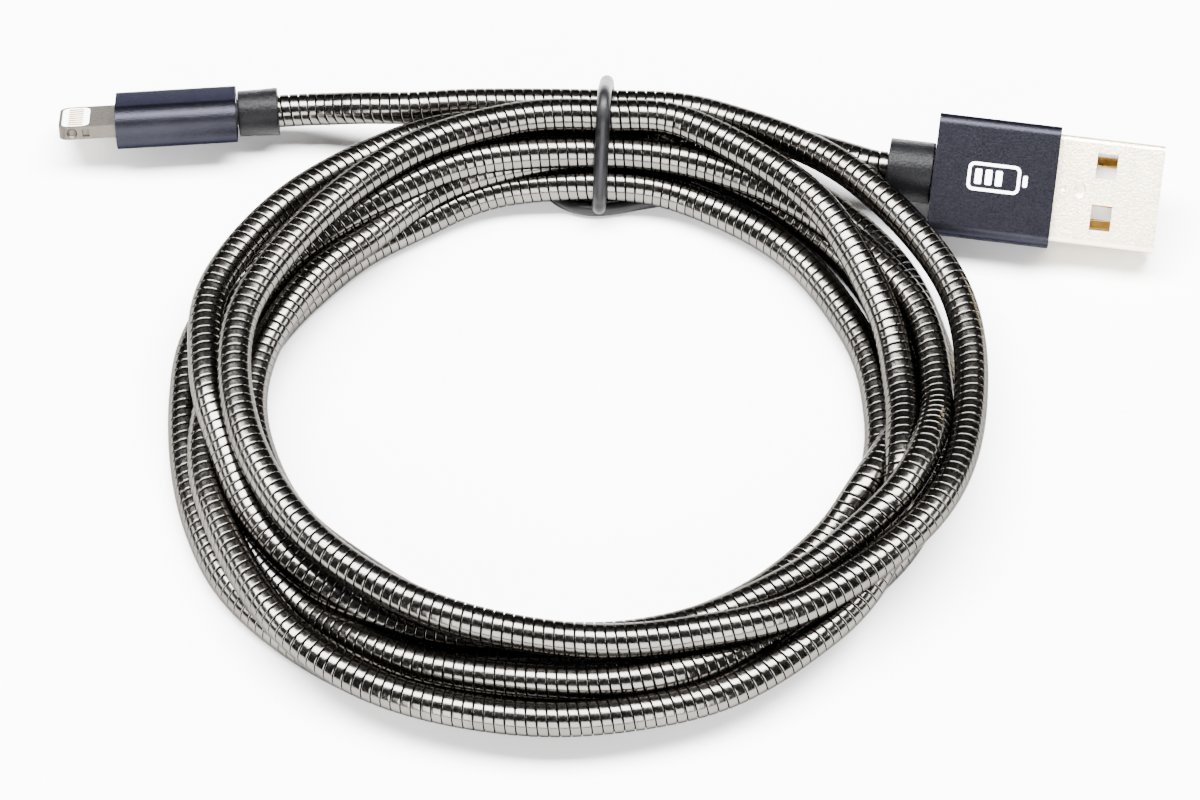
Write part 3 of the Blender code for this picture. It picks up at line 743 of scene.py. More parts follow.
class Shading(Enum):
    """How a dressed copy's edges are finished: rounding, its segments, and the angle it starts at."""

    CRISP = (0.04, 2, 24.0)
    SOFT = (0.14, 3, 32.0)


MERGE_DISTANCE = 0.002
FLAT_ANGLE = 1.5
NORMAL_WEIGHT = 80


def dressed_copy(node: str, name: str, body: str, finish: Finish, shading: Shading) -> bpy.types.Object:
    """Make a refined copy of a solid, with rounded edges and smooth shading, that stands for it.

    Args:
        node: The solid's node.
        name: The new piece's name.
        body: The body it rides on.
        finish: Its finish.
        shading: Edge treatment.

    Returns:
        The new piece.
    """
    width, segments, angle = shading.value
    mesh = NODES[node].data.copy()
    work = bmesh.new()
    work.from_mesh(mesh)
    bmesh.ops.remove_doubles(work, verts=work.verts, dist=MERGE_DISTANCE * MM)
    bmesh.ops.dissolve_limit(work, angle_limit=math.radians(FLAT_ANGLE), verts=work.verts, edges=work.edges)
    bmesh.ops.recalc_face_normals(work, faces=work.faces)
    work.to_mesh(mesh)
    work.free()
    mesh.materials.clear()
    holder = link(f"{name}_source", mesh)
    bevel = holder.modifiers.new("edge", "BEVEL")
    bevel.width = width * MM
    bevel.segments = segments
    bevel.limit_method = "ANGLE"
    bevel.angle_limit = math.radians(angle)
    bevel.use_clamp_overlap = True
    mesh.shade_smooth()
    weighted = holder.modifiers.new("normals", "WEIGHTED_NORMAL")
    weighted.weight = NORMAL_WEIGHT
    weighted.keep_sharp = True
    piece = evaluated(holder, name)
    finish_piece(piece, finish, body)
    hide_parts(node)
    return piece


def finish_piece(piece: bpy.types.Object, finish: Finish, body: str) -> None:
    """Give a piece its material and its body.

    Args:
        piece: The piece.
        finish: Its finish.
        body: The body it rides on.
    """
    piece.data.materials.clear()
    piece.data.materials.append(finish.material())
    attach(piece, body)
    log.info("made %s", piece.name)


# ---- the cord's route ---------------------------------------------------------------------------


Lane = tuple[float, float, float]

# Each turn's stations: degrees clockwise from the far side, distance outside the oval, and height.
TURNS: list[list[Lane]] = [
    [(6, 5.2, 6.1), (22, 5.6, 7.0), (45, 5.4, 8.7), (70, 6.0, 7.8), (92, 5.0, 7.2), (115, 4.4, 9.0),
     (140, 2.0, 8.9), (160, -0.6, 8.5), (180, -2.1, 8.2), (205, -2.6, 9.0), (230, -2.6, 9.7),
     (255, -2.5, 10.6), (280, -2.0, 11.3), (305, -2.7, 11.4), (330, -1.2, 11.0), (350, 0.0, 10.5)],
    [(6, 0.5, 10.1), (20, 1.3, 9.8), (45, -0.5, 9.0), (70, -2.2, 6.9), (90, -2.5, 5.7), (105, -1.6, 6.6),
     (115, 0.0, 5.6), (127, 2.3, 5.2), (140, 3.2, 4.3), (160, 4.6, 4.6), (182, 5.6, 4.9), (205, 6.0, 4.8),
     (225, 5.1, 4.7), (250, 2.6, 4.8), (270, 0.6, 5.0), (295, -1.2, 5.6), (315, -2.6, 6.3), (340, -2.4, 7.4)],
    [(6, -2.1, 6.8), (25, -0.9, 6.4), (45, 0.1, 6.0), (70, 1.6, 5.8), (90, 1.4, 5.8), (103, 0.9, 8.4),
     (115, 0.4, 9.4), (127, -1.1, 8.4), (140, -2.3, 7.0), (160, -3.2, 6.0), (180, -4.0, 5.4),
     (205, -4.3, 5.2), (235, -4.3, 5.0), (260, -3.8, 4.9), (280, -3.6, 4.9), (300, -4.5, 5.4),
     (316, -4.7, 5.4), (337, -2.6, 4.4)],
    [(6, 0.0, 3.4), (18, 2.4, 2.5), (35, 4.2, 2.2), (55, 4.1, 1.95), (72, 3.2, 1.9), (90, 2.5, 1.85),
     (115, 1.9, 1.85), (135, 0.9, 2.2), (150, 1.2, 4.2), (165, 1.9, 5.4), (182, 1.1, 4.9),
     (205, 1.4, 4.1), (225, 0.6, 2.6), (245, 0.5, 1.85), (270, -1.4, 1.85), (290, -3.1, 1.85),
     (310, -4.2, 1.85), (325, -4.4, 1.85), (345, -3.7, 2.6)],
    [(6, -4.1, 3.4), (22, -3.4, 2.6), (45, -3.8, 2.2), (70, -4.5, 1.9), (90, -4.5, 1.85),
     (105, -4.1, 1.85), (125, -2.4, 1.85), (145, -0.2, 1.85), (165, 2.0, 1.85), (185, 3.3, 1.85),
     (210, 4.2, 1.85), (232, 4.9, 1.85), (250, 4.2, 1.85), (272, 3.9, 1.85), (290, 4.4, 1.85),
     (315, 3.6, 1.85), (340, 3.2, 2.2)],
    [(6, 3.2, 3.0), (20, 1.2, 2.6), (38, 0.6, 2.0), (60, -0.2, 1.85), (85, -1.0, 1.85), (100, -3.2, 3.8),
     (112, -4.2, 5.0), (125, -5.2, 2.6), (145, -5.6, 2.0), (165, -5.5, 1.9), (182, -5.4, 1.95),
     (205, -3.4, 2.6), (225, -1.5, 3.9), (242, -0.5, 5.6), (258, -0.1, 7.2), (272, 1.2, 8.4),
     (290, 3.2, 8.2), (312, 3.1, 8.0), (335, 3.0, 7.4), (350, 2.1, 6.9)],
]

# Where turns are under other turns, they give way when the bundle settles: turn, first and last degree.
BURIED: list[tuple[int, float, float]] = [
    (2, 325, 360), (3, 0, 33), (4, 107, 200), (4, 300, 360), (5, 0, 103), (5, 335, 360),
]

# The cord's ends, as points: from the phone plug's collar, and to the USB plug's collar.
PHONE_END = [(-34.7, 8.5, 4.4), (-31.6, 8.2, 4.9), (-27.7, 7.6, 5.8), (-22.4, 7.1, 6.4), (-14.4, 7.5, 6.5)]
USB_END = [(0.14, 4.31, 6.4), (8.14, 6.21, 4.6), (15.14, 5.71, 3.9), (22.14, 2.91, 4.8), (27.34, -0.09, 6.0)]


class Route:
    """The cord's centre line.

    Args:
        sizes: The cord's sizes.
    """

    SPLINE_STEPS = 24
    SETTLE_SPACING = 2.4
    FINE_SPACING = 1.2
    SETTLE_ROUNDS = 260
    NEIGHBOURS = 8  # points along the cord that are never pushed apart
    GAP = 0.05
    SHOWN_GIVE = 0.12
    SHOWN_RETURN = 0.10
    BURIED_SQUEEZE = 0.9
    BURIED_GIVE = 1.0
    SIDEWAYS_GIVE = 0.35
    GIVE_REACH = 2.0
    PUSH_REACH = 1.6
    PUSH_BOOST = 1.3
    EVENING = 0.08
    LEAST_DISTANCE = 0.3
    LIFT_OVER_TIE = 1.5
    LIFT_REACH = 6.0
    INTO_COLLAR = 1.0
    LEVEL_BEFORE_COLLAR = 1.5

    def __init__(self, sizes: CordSizes) -> None:
        """Keep what it is made from."""
        self.sizes = sizes
        self.points = self._settle(*self._sampled(self._stations(), self.SETTLE_SPACING))
        self.points = self._spline(self.points, self.FINE_SPACING)

    def length(self) -> float:
        """Returns:
            The centre line's length in millimetres.
        """
        return float(np.linalg.norm(np.diff(self.points, axis=0), axis=1).sum())

    @staticmethod
    def lane_point(degrees: float, outside: float, height: float) -> tuple[float, float, float]:
        """Args:
            degrees: Place around the oval, clockwise from the far side.
            outside: Distance outside the oval.
            height: Height above the table.

        Returns:
            The point.
        """
        turn = math.radians(degrees)
        return (COIL_CENTRE[0] + (COIL_RADII[0] + outside) * math.sin(turn),
                COIL_CENTRE[1] + (COIL_RADII[1] + outside) * math.cos(turn), height)

    def _stations(self) -> tuple[np.ndarray, np.ndarray]:
        """Returns:
            Every station's point, and how freely it gives way.
        """
        points = [tuple(PHONE_FRAME.axis_point(PHONE_FRAME.back - self.INTO_COLLAR)), *PHONE_END]
        give = [0.0, 0.0] + [self.SHOWN_GIVE] * (len(PHONE_END) - 1)
        for number, lanes in enumerate(TURNS):
            for degrees, outside, height in lanes:
                points.append(self.lane_point(degrees, outside, height))
                hidden = any(turn == number and low <= degrees <= high for turn, low, high in BURIED)
                give.append(self.BURIED_GIVE if hidden else self.SHOWN_GIVE)
        points += USB_END
        give += [self.BURIED_GIVE] * 3 + [self.SHOWN_GIVE, 0.0]
        for behind in (USB_FRAME.back + self.LEVEL_BEFORE_COLLAR, USB_FRAME.back - self.INTO_COLLAR):
            points.append(tuple(USB_FRAME.axis_point(behind)))
            give.append(0.0)
        return np.array(points), np.array(give)

    def _sampled(self, stations: tuple[np.ndarray, np.ndarray],
                 spacing: float) -> tuple[np.ndarray, np.ndarray]:
        """Args:
            stations: Points and their give.
            spacing: Distance between the new points.

        Returns:
            Evenly spaced points and their give.
        """
        rows = smooth_through(np.column_stack(stations), self.SPLINE_STEPS)
        walked = np.concatenate([[0], np.cumsum(np.linalg.norm(np.diff(rows[:, :3], axis=0), axis=1))])
        wanted = np.linspace(0, walked[-1], int(round(walked[-1] / spacing)) + 1)
        even = np.column_stack([np.interp(wanted, walked, rows[:, k]) for k in range(4)])
        return even[:, :3], np.clip(even[:, 3], 0.0, 1.0)

    def _spline(self, points: np.ndarray, spacing: float) -> np.ndarray:
        """Args:
            points: The line.
            spacing: The new distance between points.

        Returns:
            The same line with that spacing.
        """
        return self._sampled((points, np.ones(len(points))), spacing)[0]

    @staticmethod
    def _even(values: np.ndarray, reach: float) -> np.ndarray:
        """Args:
            values: Rows along the cord.
            reach: How far the averaging goes, in rows.

        Returns:
            The rows averaged with their neighbours.
        """
        half = int(3 * reach + 1)
        weights = np.exp(-0.5 * (np.arange(-half, half + 1) / reach) ** 2)
        weights /= weights.sum()
        padded = np.pad(values, ((half, half), (0, 0)), mode="edge")
        return np.column_stack([np.convolve(padded[:, k], weights, "valid") for k in range(values.shape[1])])

    def _floor(self, points: np.ndarray) -> np.ndarray:
        """Args:
            points: The centre line.

        Returns:
            The lowest height that it may have at each point, which is more over the tie.
        """
        near = np.exp(-((points[:, 0] - TIE.x) / self.LIFT_REACH) ** 2) * (points[:, 1] > TIE.far_side)
        return self.sizes.diameter / 2 + self.LIFT_OVER_TIE * near

    def _settle(self, points: np.ndarray, give: np.ndarray) -> np.ndarray:
        """Push turns that touch apart, buried ones more than those that show, and keep all on the table.

        Args:
            points: Evenly spaced centre line.
            give: How freely each point moves.

        Returns:
            The settled centre line.
        """
        count = len(points)
        start = points.copy()
        freedom = np.array([self.SIDEWAYS_GIVE, self.SIDEWAYS_GIVE, 1.0])
        number = np.arange(count)
        apart = np.abs(number[:, None] - number[None, :]) > self.NEIGHBOURS
        share = self._even(give[:, None], self.GIVE_REACH)
        share[give == 0.0] = 0.0
        deepest = np.maximum(share, share.T)
        room = self.sizes.diameter + self.GAP - self.BURIED_SQUEEZE * deepest
        for _ in range(self.SETTLE_ROUNDS):
            offset = points[:, None] - points[None]
            distance = np.linalg.norm(offset, axis=2)
            first, second = np.nonzero(apart & (distance < room))
            if len(first) == 0:
                break
            between = distance[first, second]
            direction = offset[first, second] / np.maximum(between, self.LEAST_DISTANCE)[:, None]
            push = direction * freedom
            gap = room[first, second]
            part = share[first] / (share[first] + share[second] + 1e-6)
            push *= (part[:, 0] * (gap - between) / (direction * push).sum(1))[:, None]
            moved = np.zeros_like(points)
            touching = np.zeros(count)
            np.add.at(moved, first, push)
            np.add.at(touching, first, 1)
            moved /= np.maximum(touching, 1)[:, None]
            points = points + self._even(moved, self.PUSH_REACH) * self.PUSH_BOOST * (share > 0)
            shift = (points - start) * (1.0 - self.SHOWN_RETURN * (1.0 - np.clip(share, 0, 1)))
            points = start + shift + (self._even(shift, self.PUSH_REACH) - shift) * self.EVENING
            points[:, 2] = np.maximum(points[:, 2], self._floor(points))
        return points


# ---- the armoured cord --------------------------------------------------------------------------


class ArmouredCord:
    """The cord: a dark core and a steel strip wound around it.

    Args:
        sizes: The cord's sizes.
        route: Its centre line.
        finishes: The finishes.
    """

    CROWD = 3.0  # gathers the strip's columns at its edges
    TURN_DOWN = 40.0  # keeps the strip flat until just before its edges

    def __init__(self, sizes: CordSizes, route: Route, finishes: Finishes) -> None:
        """Keep what it is made from."""
        self.sizes = sizes
        self.route = route
        self.finishes = finishes
        self.core: bpy.types.Object | None = None
        self.sections: list[bpy.types.Object] = []

    def build(self) -> None:
        """Make the core and the windings."""
        self.core = curve_object("cord_core", self.route.points, self.sizes.core_diameter / 2)
        finish_piece(self.core, self.finishes.core, "cable")
        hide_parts("cable_coil", "cable_phone_lead", "cable_usb_lead")
        tree = self._winding_tree()
        part = self.route.length() / self.sizes.sections
        for number in range(self.sizes.sections):
            self.sections.append(self._section(tree, number, part))

    def declare(self) -> None:
        """Work out the cord's length in metres, which nothing keeps.
        """
        self.route.length() * MM

    def _section(self, tree: bpy.types.NodeTree, number: int, part: float) -> bpy.types.Object:
        """Args:
            tree: The graph that winds the strip.
            number: The section's number.
            part: Its length along the cord.

        Returns:
            The section's windings as a plain mesh.
        """
        holder = curve_object(f"windings_{number}_line", self.route.points)
        modifier = holder.modifiers.new("windings", "NODES")
        modifier.node_group = tree
        rows = int(round(part / self.sizes.pitch)) * self.sizes.around + 1
        values = {"Start": number * part * MM, "Length": part * MM, "Radius": self.sizes.diameter / 2 * MM,
                  "Pitch": self.sizes.pitch * MM, "Strip Width": self.sizes.strip_width * MM,
                  "Edge Drop": self.sizes.edge_drop * MM, "Rows": rows, "Columns": self.sizes.columns,
                  "Material": self.finishes.armour.material()}
        for item in tree.interface.items_tree:
            if item.item_type == "SOCKET" and item.in_out == "INPUT" and item.name in values:
                modifier[item.identifier] = values[item.name]
        piece = evaluated(holder, f"armour_windings_{number + 1}")
        piece.data.shade_smooth()
        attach(piece, "cable")
        log.info("made %s with %d faces", piece.name, len(piece.data.polygons))
        return piece

    @classmethod
    def _winding_tree(cls) -> bpy.types.NodeTree:
        """Returns:
            The graph that winds the strip along a curve.
        """
        tree = bpy.data.node_groups.new("strip_windings", "GeometryNodeTree")
        face = tree.interface
        face.new_socket("Geometry", in_out="INPUT", socket_type="NodeSocketGeometry")
        for name in ("Start", "Length", "Radius", "Pitch", "Strip Width", "Edge Drop"):
            face.new_socket(name, in_out="INPUT", socket_type="NodeSocketFloat")
        for name in ("Rows", "Columns"):
            face.new_socket(name, in_out="INPUT", socket_type="NodeSocketInt")
        face.new_socket("Material", in_out="INPUT", socket_type="NodeSocketMaterial")
        face.new_socket("Geometry", in_out="OUTPUT", socket_type="NodeSocketGeometry")
        graph = Graph(tree)
        entry = tree.nodes.new("NodeGroupInput")

        def given(name: str) -> Socket:
            """Args:
                name: One of the graph's inputs.

            Returns:
                Its value.
            """
            return Socket(graph, entry.outputs[name])

        sheet = graph.node("GeometryNodeMeshGrid", None, {"Size X": 1.0, "Size Y": 1.0,
                                                          "Vertices X": given("Rows"),
                                                          "Vertices Y": given("Columns")})
        spot = tree.nodes.new("ShaderNodeSeparateXYZ")
        tree.links.new(graph.node("GeometryNodeInputPosition").link, spot.inputs[0])
        along = ((Socket(graph, spot.outputs["X"]) + 0.5) * given("Length")) + given("Start")
        across = Socket(graph, spot.outputs["Y"]) * 2.0
        edge = 1.0 - (1.0 - across.size()) ** cls.CROWD
        turns = along / given("Pitch")
        angle = turns * (2 * math.pi)
        reach = along + (across.sign() * edge * given("Strip Width") * 0.5)
        radius = given("Radius") - ((edge ** cls.TURN_DOWN) * given("Edge Drop"))
        sample = tree.nodes.new("GeometryNodeSampleCurve")
        sample.mode = "LENGTH"
        tree.links.new(given("Geometry").link, sample.inputs["Curves"])
        tree.links.new(reach.link, sample.inputs["Length"])
        tangent, normal = sample.outputs["Tangent"], sample.outputs["Normal"]

        def vector(operation: str, first: bpy.types.NodeSocket, second: bpy.types.NodeSocket) -> Socket:
            """Args:
                operation: The vector arithmetic that is done.
                first: A vector.
                second: A vector, or a number when the operation scales.

            Returns:
                The result.
            """
            made = tree.nodes.new("ShaderNodeVectorMath")
            made.operation = operation
            tree.links.new(first, made.inputs[0])
            tree.links.new(second, made.inputs["Scale"] if operation == "SCALE" else made.inputs[1])
            return Socket(graph, made.outputs[0])

        side = vector("CROSS_PRODUCT", tangent, normal)
        outward = vector("ADD", vector("SCALE", normal, angle.cosine().link).link,
                         vector("SCALE", side.link, angle.sine().link).link)
        target = vector("ADD", sample.outputs["Position"], vector("SCALE", outward.link, radius.link).link)
        placed = graph.node("GeometryNodeSetPosition", None, {"Geometry": sheet, "Position": target})
        stored = graph.node("GeometryNodeStoreNamedAttribute", {"data_type": "FLOAT", "domain": "POINT"},
                            {"Geometry": placed, "Name": "winding", "Value": turns})
        real = graph.node("GeometryNodeRealizeInstances", None, {"Geometry": stored})
        done = graph.node("GeometryNodeSetMaterial", None, {"Geometry": real, "Material": given("Material")})
        leave = tree.nodes.new("NodeGroupOutput")
        tree.links.new(done.link, leave.inputs[0])
        return tree


# ---- plugs --------------------------------------------------------------------------------------


@dataclass(frozen=True)
class Dress:
    """How one solid is dressed.

    Args:
        node: The solid's node.
        finish: Its finish.
        shading: Its edges.
        slot: The record's material slot; not used.
    """

    node: str
    finish: Finish
    shading: Shading
    slot: str


@dataclass(frozen=True)
class CollarSizes:
    """A turned collar.

    Args:
        start: Its front end, behind the plug's mouth.
        end: Its rear end, behind the plug's mouth.
        front: Its radius at the front.
        rear: Its radius at the rear.
        flare: Share of the change in radius that is reached half way.
        rounding: Radius of its edges.
        hole_gap: Room around the cord.
        steps: Vertices around it.
        edge_steps: Points on each round edge.
        sharp_angle: Edges above this angle stay sharp, in degrees.
    """

    start: float
    end: float
    front: float
    rear: float
    flare: float = 0.3
    rounding: float = 0.18
    hole_gap: float = 0.08
    steps: int = 64
    edge_steps: int = 5
    sharp_angle: float = 50.0


Point = tuple[float, float]


class Plug:
    """A plug made of dressed copies of its solids.

    Args:
        prefix: The first part of its nodes' names.
        frame: Where it is.
        finishes: The finishes.
    """

    COLLAR = CollarSizes(start=13.8, end=18.9, front=3.45, rear=3.45)

    def __init__(self, prefix: str, frame: PlugFrame, finishes: Finishes) -> None:
        """Keep what it is made from."""
        self.prefix = prefix
        self.frame = frame
        self.finishes = finishes

    def dresses(self) -> list[Dress]:
        """Returns:
            How each solid of this plug is dressed.
        """
        kit = self.finishes
        rows = (
            ("housing", kit.anodised, Shading.SOFT, "anodised_body"),
            ("front_insert", kit.moulded, Shading.CRISP, "moulded_plastic"),
            ("rear_insert", kit.moulded, Shading.CRISP, "moulded_plastic"),
            ("board", kit.board, Shading.CRISP, "circuit_board"),
            ("crimp", kit.crimp, Shading.CRISP, "crimp_metal"),
            ("jacket_end", kit.jacket, Shading.CRISP, "inner_jacket"),
            ("wire_power", kit.red, Shading.CRISP, "wire_red"),
            ("wire_data_minus", kit.pale, Shading.CRISP, "wire_white"),
            ("wire_data_plus", kit.green, Shading.CRISP, "wire_green"),
            ("wire_ground", kit.black, Shading.CRISP, "wire_black"),
        )
        return [Dress(f"{self.prefix}_{piece}", *rest) for piece, *rest in rows]

    def build(self) -> None:
        """Dress every solid and turn the collar."""
        for dress in self.dresses():
            dressed_copy(dress.node, f"{dress.node}_dressed", "cable", dress.finish, dress.shading)
        self.collar()

    def collar(self) -> bpy.types.Object:
        """Turn the collar, a sleeve with a small hole for the cord.

        Returns:
            The collar.
        """
        size = self.COLLAR
        bore = CORD.diameter / 2 + size.hole_gap
        middle = (size.start + size.end) / 2
        profile = [(size.start, bore), (size.start, size.front - size.rounding)]
        profile += self.rounding(size.start, size.front, 1.0)
        profile.append((middle, size.front + (size.rear - size.front) * size.flare))
        profile += self.rounding(size.end, size.rear, -1.0)[::-1]
        profile += [(size.end, bore), (middle, bore)]
        work = bmesh.new()
        rings = []
        for along, radius in profile:
            ring = []
            for step in range(size.steps):
                angle = 2 * math.pi * step / size.steps
                ring.append(work.verts.new((-along * MM, radius * math.cos(angle) * MM,
                                            radius * math.sin(angle) * MM)))
            rings.append(ring)
        for first, second in zip(rings, rings[1:] + rings[:1]):
            for step in range(size.steps):
                after = (step + 1) % size.steps
                work.faces.new((first[step], first[after], second[after], second[step]))
        bmesh.ops.recalc_face_normals(work, faces=work.faces)
        mesh = bpy.data.meshes.new(f"{self.prefix}_collar_sleeve")
        work.to_mesh(mesh)
        work.free()
        mesh.transform(self.frame.matrix())
        mesh.shade_smooth()
        mesh.set_sharp_from_angle(angle=math.radians(size.sharp_angle))
        piece = link(f"{self.prefix}_collar_sleeve", mesh)
        finish_piece(piece, self.finishes.moulded, "cable")
        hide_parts(f"{self.prefix}_collar")
        return piece

    def rounding(self, along: float, radius: float, way: float) -> list[Point]:
        """Args:
            along: The end face's place.
            radius: The collar's radius there.
            way: 1 when the collar goes on from that face, -1 when it ends there.

        Returns:
            The points of the round edge, from the end face.
        """
        size = self.COLLAR.rounding
        points = []
        for step in range(1, self.COLLAR.edge_steps + 1):
            turn = math.radians(90 * step / self.COLLAR.edge_steps)
            points.append((along + way * size * (1 - math.cos(turn)), radius - size * (1 - math.sin(turn))))
        return points

    def flat_piece(self, name: str, outlines: list[list[Point]], level: float, depth: float,
                   finish: Finish, slot: str) -> bpy.types.Object:
        """Make a thin plate on the plug's upper face.

        Args:
            name: Piece name.
            outlines: Closed outlines in the plug's XY plane. An outline inside another is a hole.
            level: Height of the plate's middle above the plug's axis.
            depth: Its thickness.
            finish: Its finish.
            slot: Record slot; not used.

        Returns:
            The piece.
        """
        curve = bpy.data.curves.new(name, "CURVE")
        curve.dimensions = "2D"
        curve.fill_mode = "BOTH"
        curve.extrude = depth / 2 * MM
        for outline in outlines:
            spline = curve.splines.new("POLY")
            spline.points.add(len(outline) - 1)
            for point, (x, y) in zip(spline.points, outline):
                point.co = (x * MM, y * MM, 0.0, 1.0)
            spline.use_cyclic_u = True
        piece = evaluated(link(f"{name}_outline", curve), name)
        piece.data.transform(self.frame.matrix() @ Matrix.Translation((0, 0, level * MM)))
        finish_piece(piece, finish, "cable")
        return piece


def rounded_outline(centre: Point, width: float, height: float, radius: float,
                    steps: int = 8) -> list[Point]:
    """Args:
        centre: The rectangle's middle.
        width: Its length along X.
        height: Its length along Y.
        radius: Its corners' radius.
        steps: Lines in each corner.

    Returns:
        The points of a rectangle with round corners.
    """
    points = []
    for corner, (sign_x, sign_y) in enumerate(((1, 1), (-1, 1), (-1, -1), (1, -1))):
        for step in range(steps + 1):
            angle = math.radians(90 * (corner + step / steps))
            points.append((centre[0] + sign_x * (width / 2 - radius) + radius * math.cos(angle),
                           centre[1] + sign_y * (height / 2 - radius) + radius * math.sin(angle)))
    return points


@dataclass(frozen=True)
class PictogramSizes:
    """The battery pictogram, in the plug's own frame.

    Args:
        level: Height of the printed face above the plug's axis.
        depth: Thickness of the print.
        centre: Middle of the battery's case.
        length: Length of the case.
        height: Height of the case.
        line: Thickness of its outline.
        corner: Radius of its outer corners.
        inner_corner: Radius of its inner corners.
        cap: Length and height of the cap.
        cap_corner: Radius of the cap's corners.
        cap_offset: From the case's end to the cap's middle.
        bars: Number of charge bars.
        bar: Length and height of a bar.
        bar_corner: Radius of a bar's corners.
        bar_start: From the case's middle to the first bar's.
        bar_step: From one bar to the next.
    """

    level: float = 3.45
    depth: float = 0.03
    centre: Point = (-6.9, 0.1)
    length: float = 5.9
    height: float = 3.2
    line: float = 0.34
    corner: float = 0.7
    inner_corner: float = 0.4
    cap: Point = (0.5, 1.3)
    cap_corner: float = 0.2
    cap_offset: float = 0.55
    bars: int = 3
    bar: Point = (0.75, 1.7)
    bar_corner: float = 0.15
    bar_start: float = -1.75
    bar_step: float = 1.15


class UsbPlug(Plug):
    """The full-size plug, with a battery pictogram printed on its upper face."""

    MARK = PictogramSizes()

    def dresses(self) -> list[Dress]:
        """Returns:
            How each solid of this plug is dressed.
        """
        kit = self.finishes
        contacts = [Dress(f"usb_contact_{name}", kit.gold, Shading.CRISP, "gold_contact")
                    for name in ("power", "data_minus", "data_plus", "ground")]
        return super().dresses() + contacts + [
            Dress("usb_shell", kit.nickel, Shading.CRISP, "nickel"),
            Dress("usb_tongue", kit.white, Shading.CRISP, "white_plastic"),
        ]

    def build(self) -> None:
        """Dress every solid and print the pictogram."""
        super().build()
        mark = self.MARK
        for name, outlines in self.pictogram().items():
            self.flat_piece(name, outlines, mark.level + mark.depth / 2, mark.depth,
                            self.finishes.print_ink, "white_plastic")

    def pictogram(self) -> dict[str, list[list[Point]]]:
        """Returns:
            The outlines of each piece of the pictogram, by the piece's name.
        """
        mark = self.MARK
        x, y = mark.centre
        inside = (mark.length - 2 * mark.line, mark.height - 2 * mark.line)
        cap_centre = (x + mark.length / 2 + mark.cap_offset, y)
        pieces = {
            "usb_print_case": [rounded_outline((x, y), mark.length, mark.height, mark.corner),
                               rounded_outline((x, y), *inside, mark.inner_corner)],
            "usb_print_cap": [rounded_outline(cap_centre, *mark.cap, mark.cap_corner)],
        }
        for number in range(mark.bars):
            centre = (x + mark.bar_start + mark.bar_step * number, y)
            pieces[f"usb_print_bar_{number + 1}"] = [rounded_outline(centre, *mark.bar, mark.bar_corner)]
        return pieces


class PhonePlug(Plug):
    """The small flat plug."""

    CONTACTS = 8
    COLLAR = CollarSizes(start=13.9, end=18.5, front=2.62, rear=2.74, flare=0.2)

    def dresses(self) -> list[Dress]:
        """Returns:
            How each solid of this plug is dressed.
        """
        kit = self.finishes
        contacts = [Dress(f"phone_contact_{face}_{number + 1}", kit.gold, Shading.CRISP, "gold_contact")
                    for face in ("upper", "lower") for number in range(self.CONTACTS)]
        return super().dresses() + contacts + [
            Dress("phone_tip", kit.tip, Shading.SOFT, "tip_steel"),
            Dress("phone_carrier", kit.white, Shading.CRISP, "white_plastic"),
            Dress("phone_chip", kit.chip, Shading.CRISP, "chip_plastic"),
        ]


# ---- tie ----------------------------------------------------------------------------------------


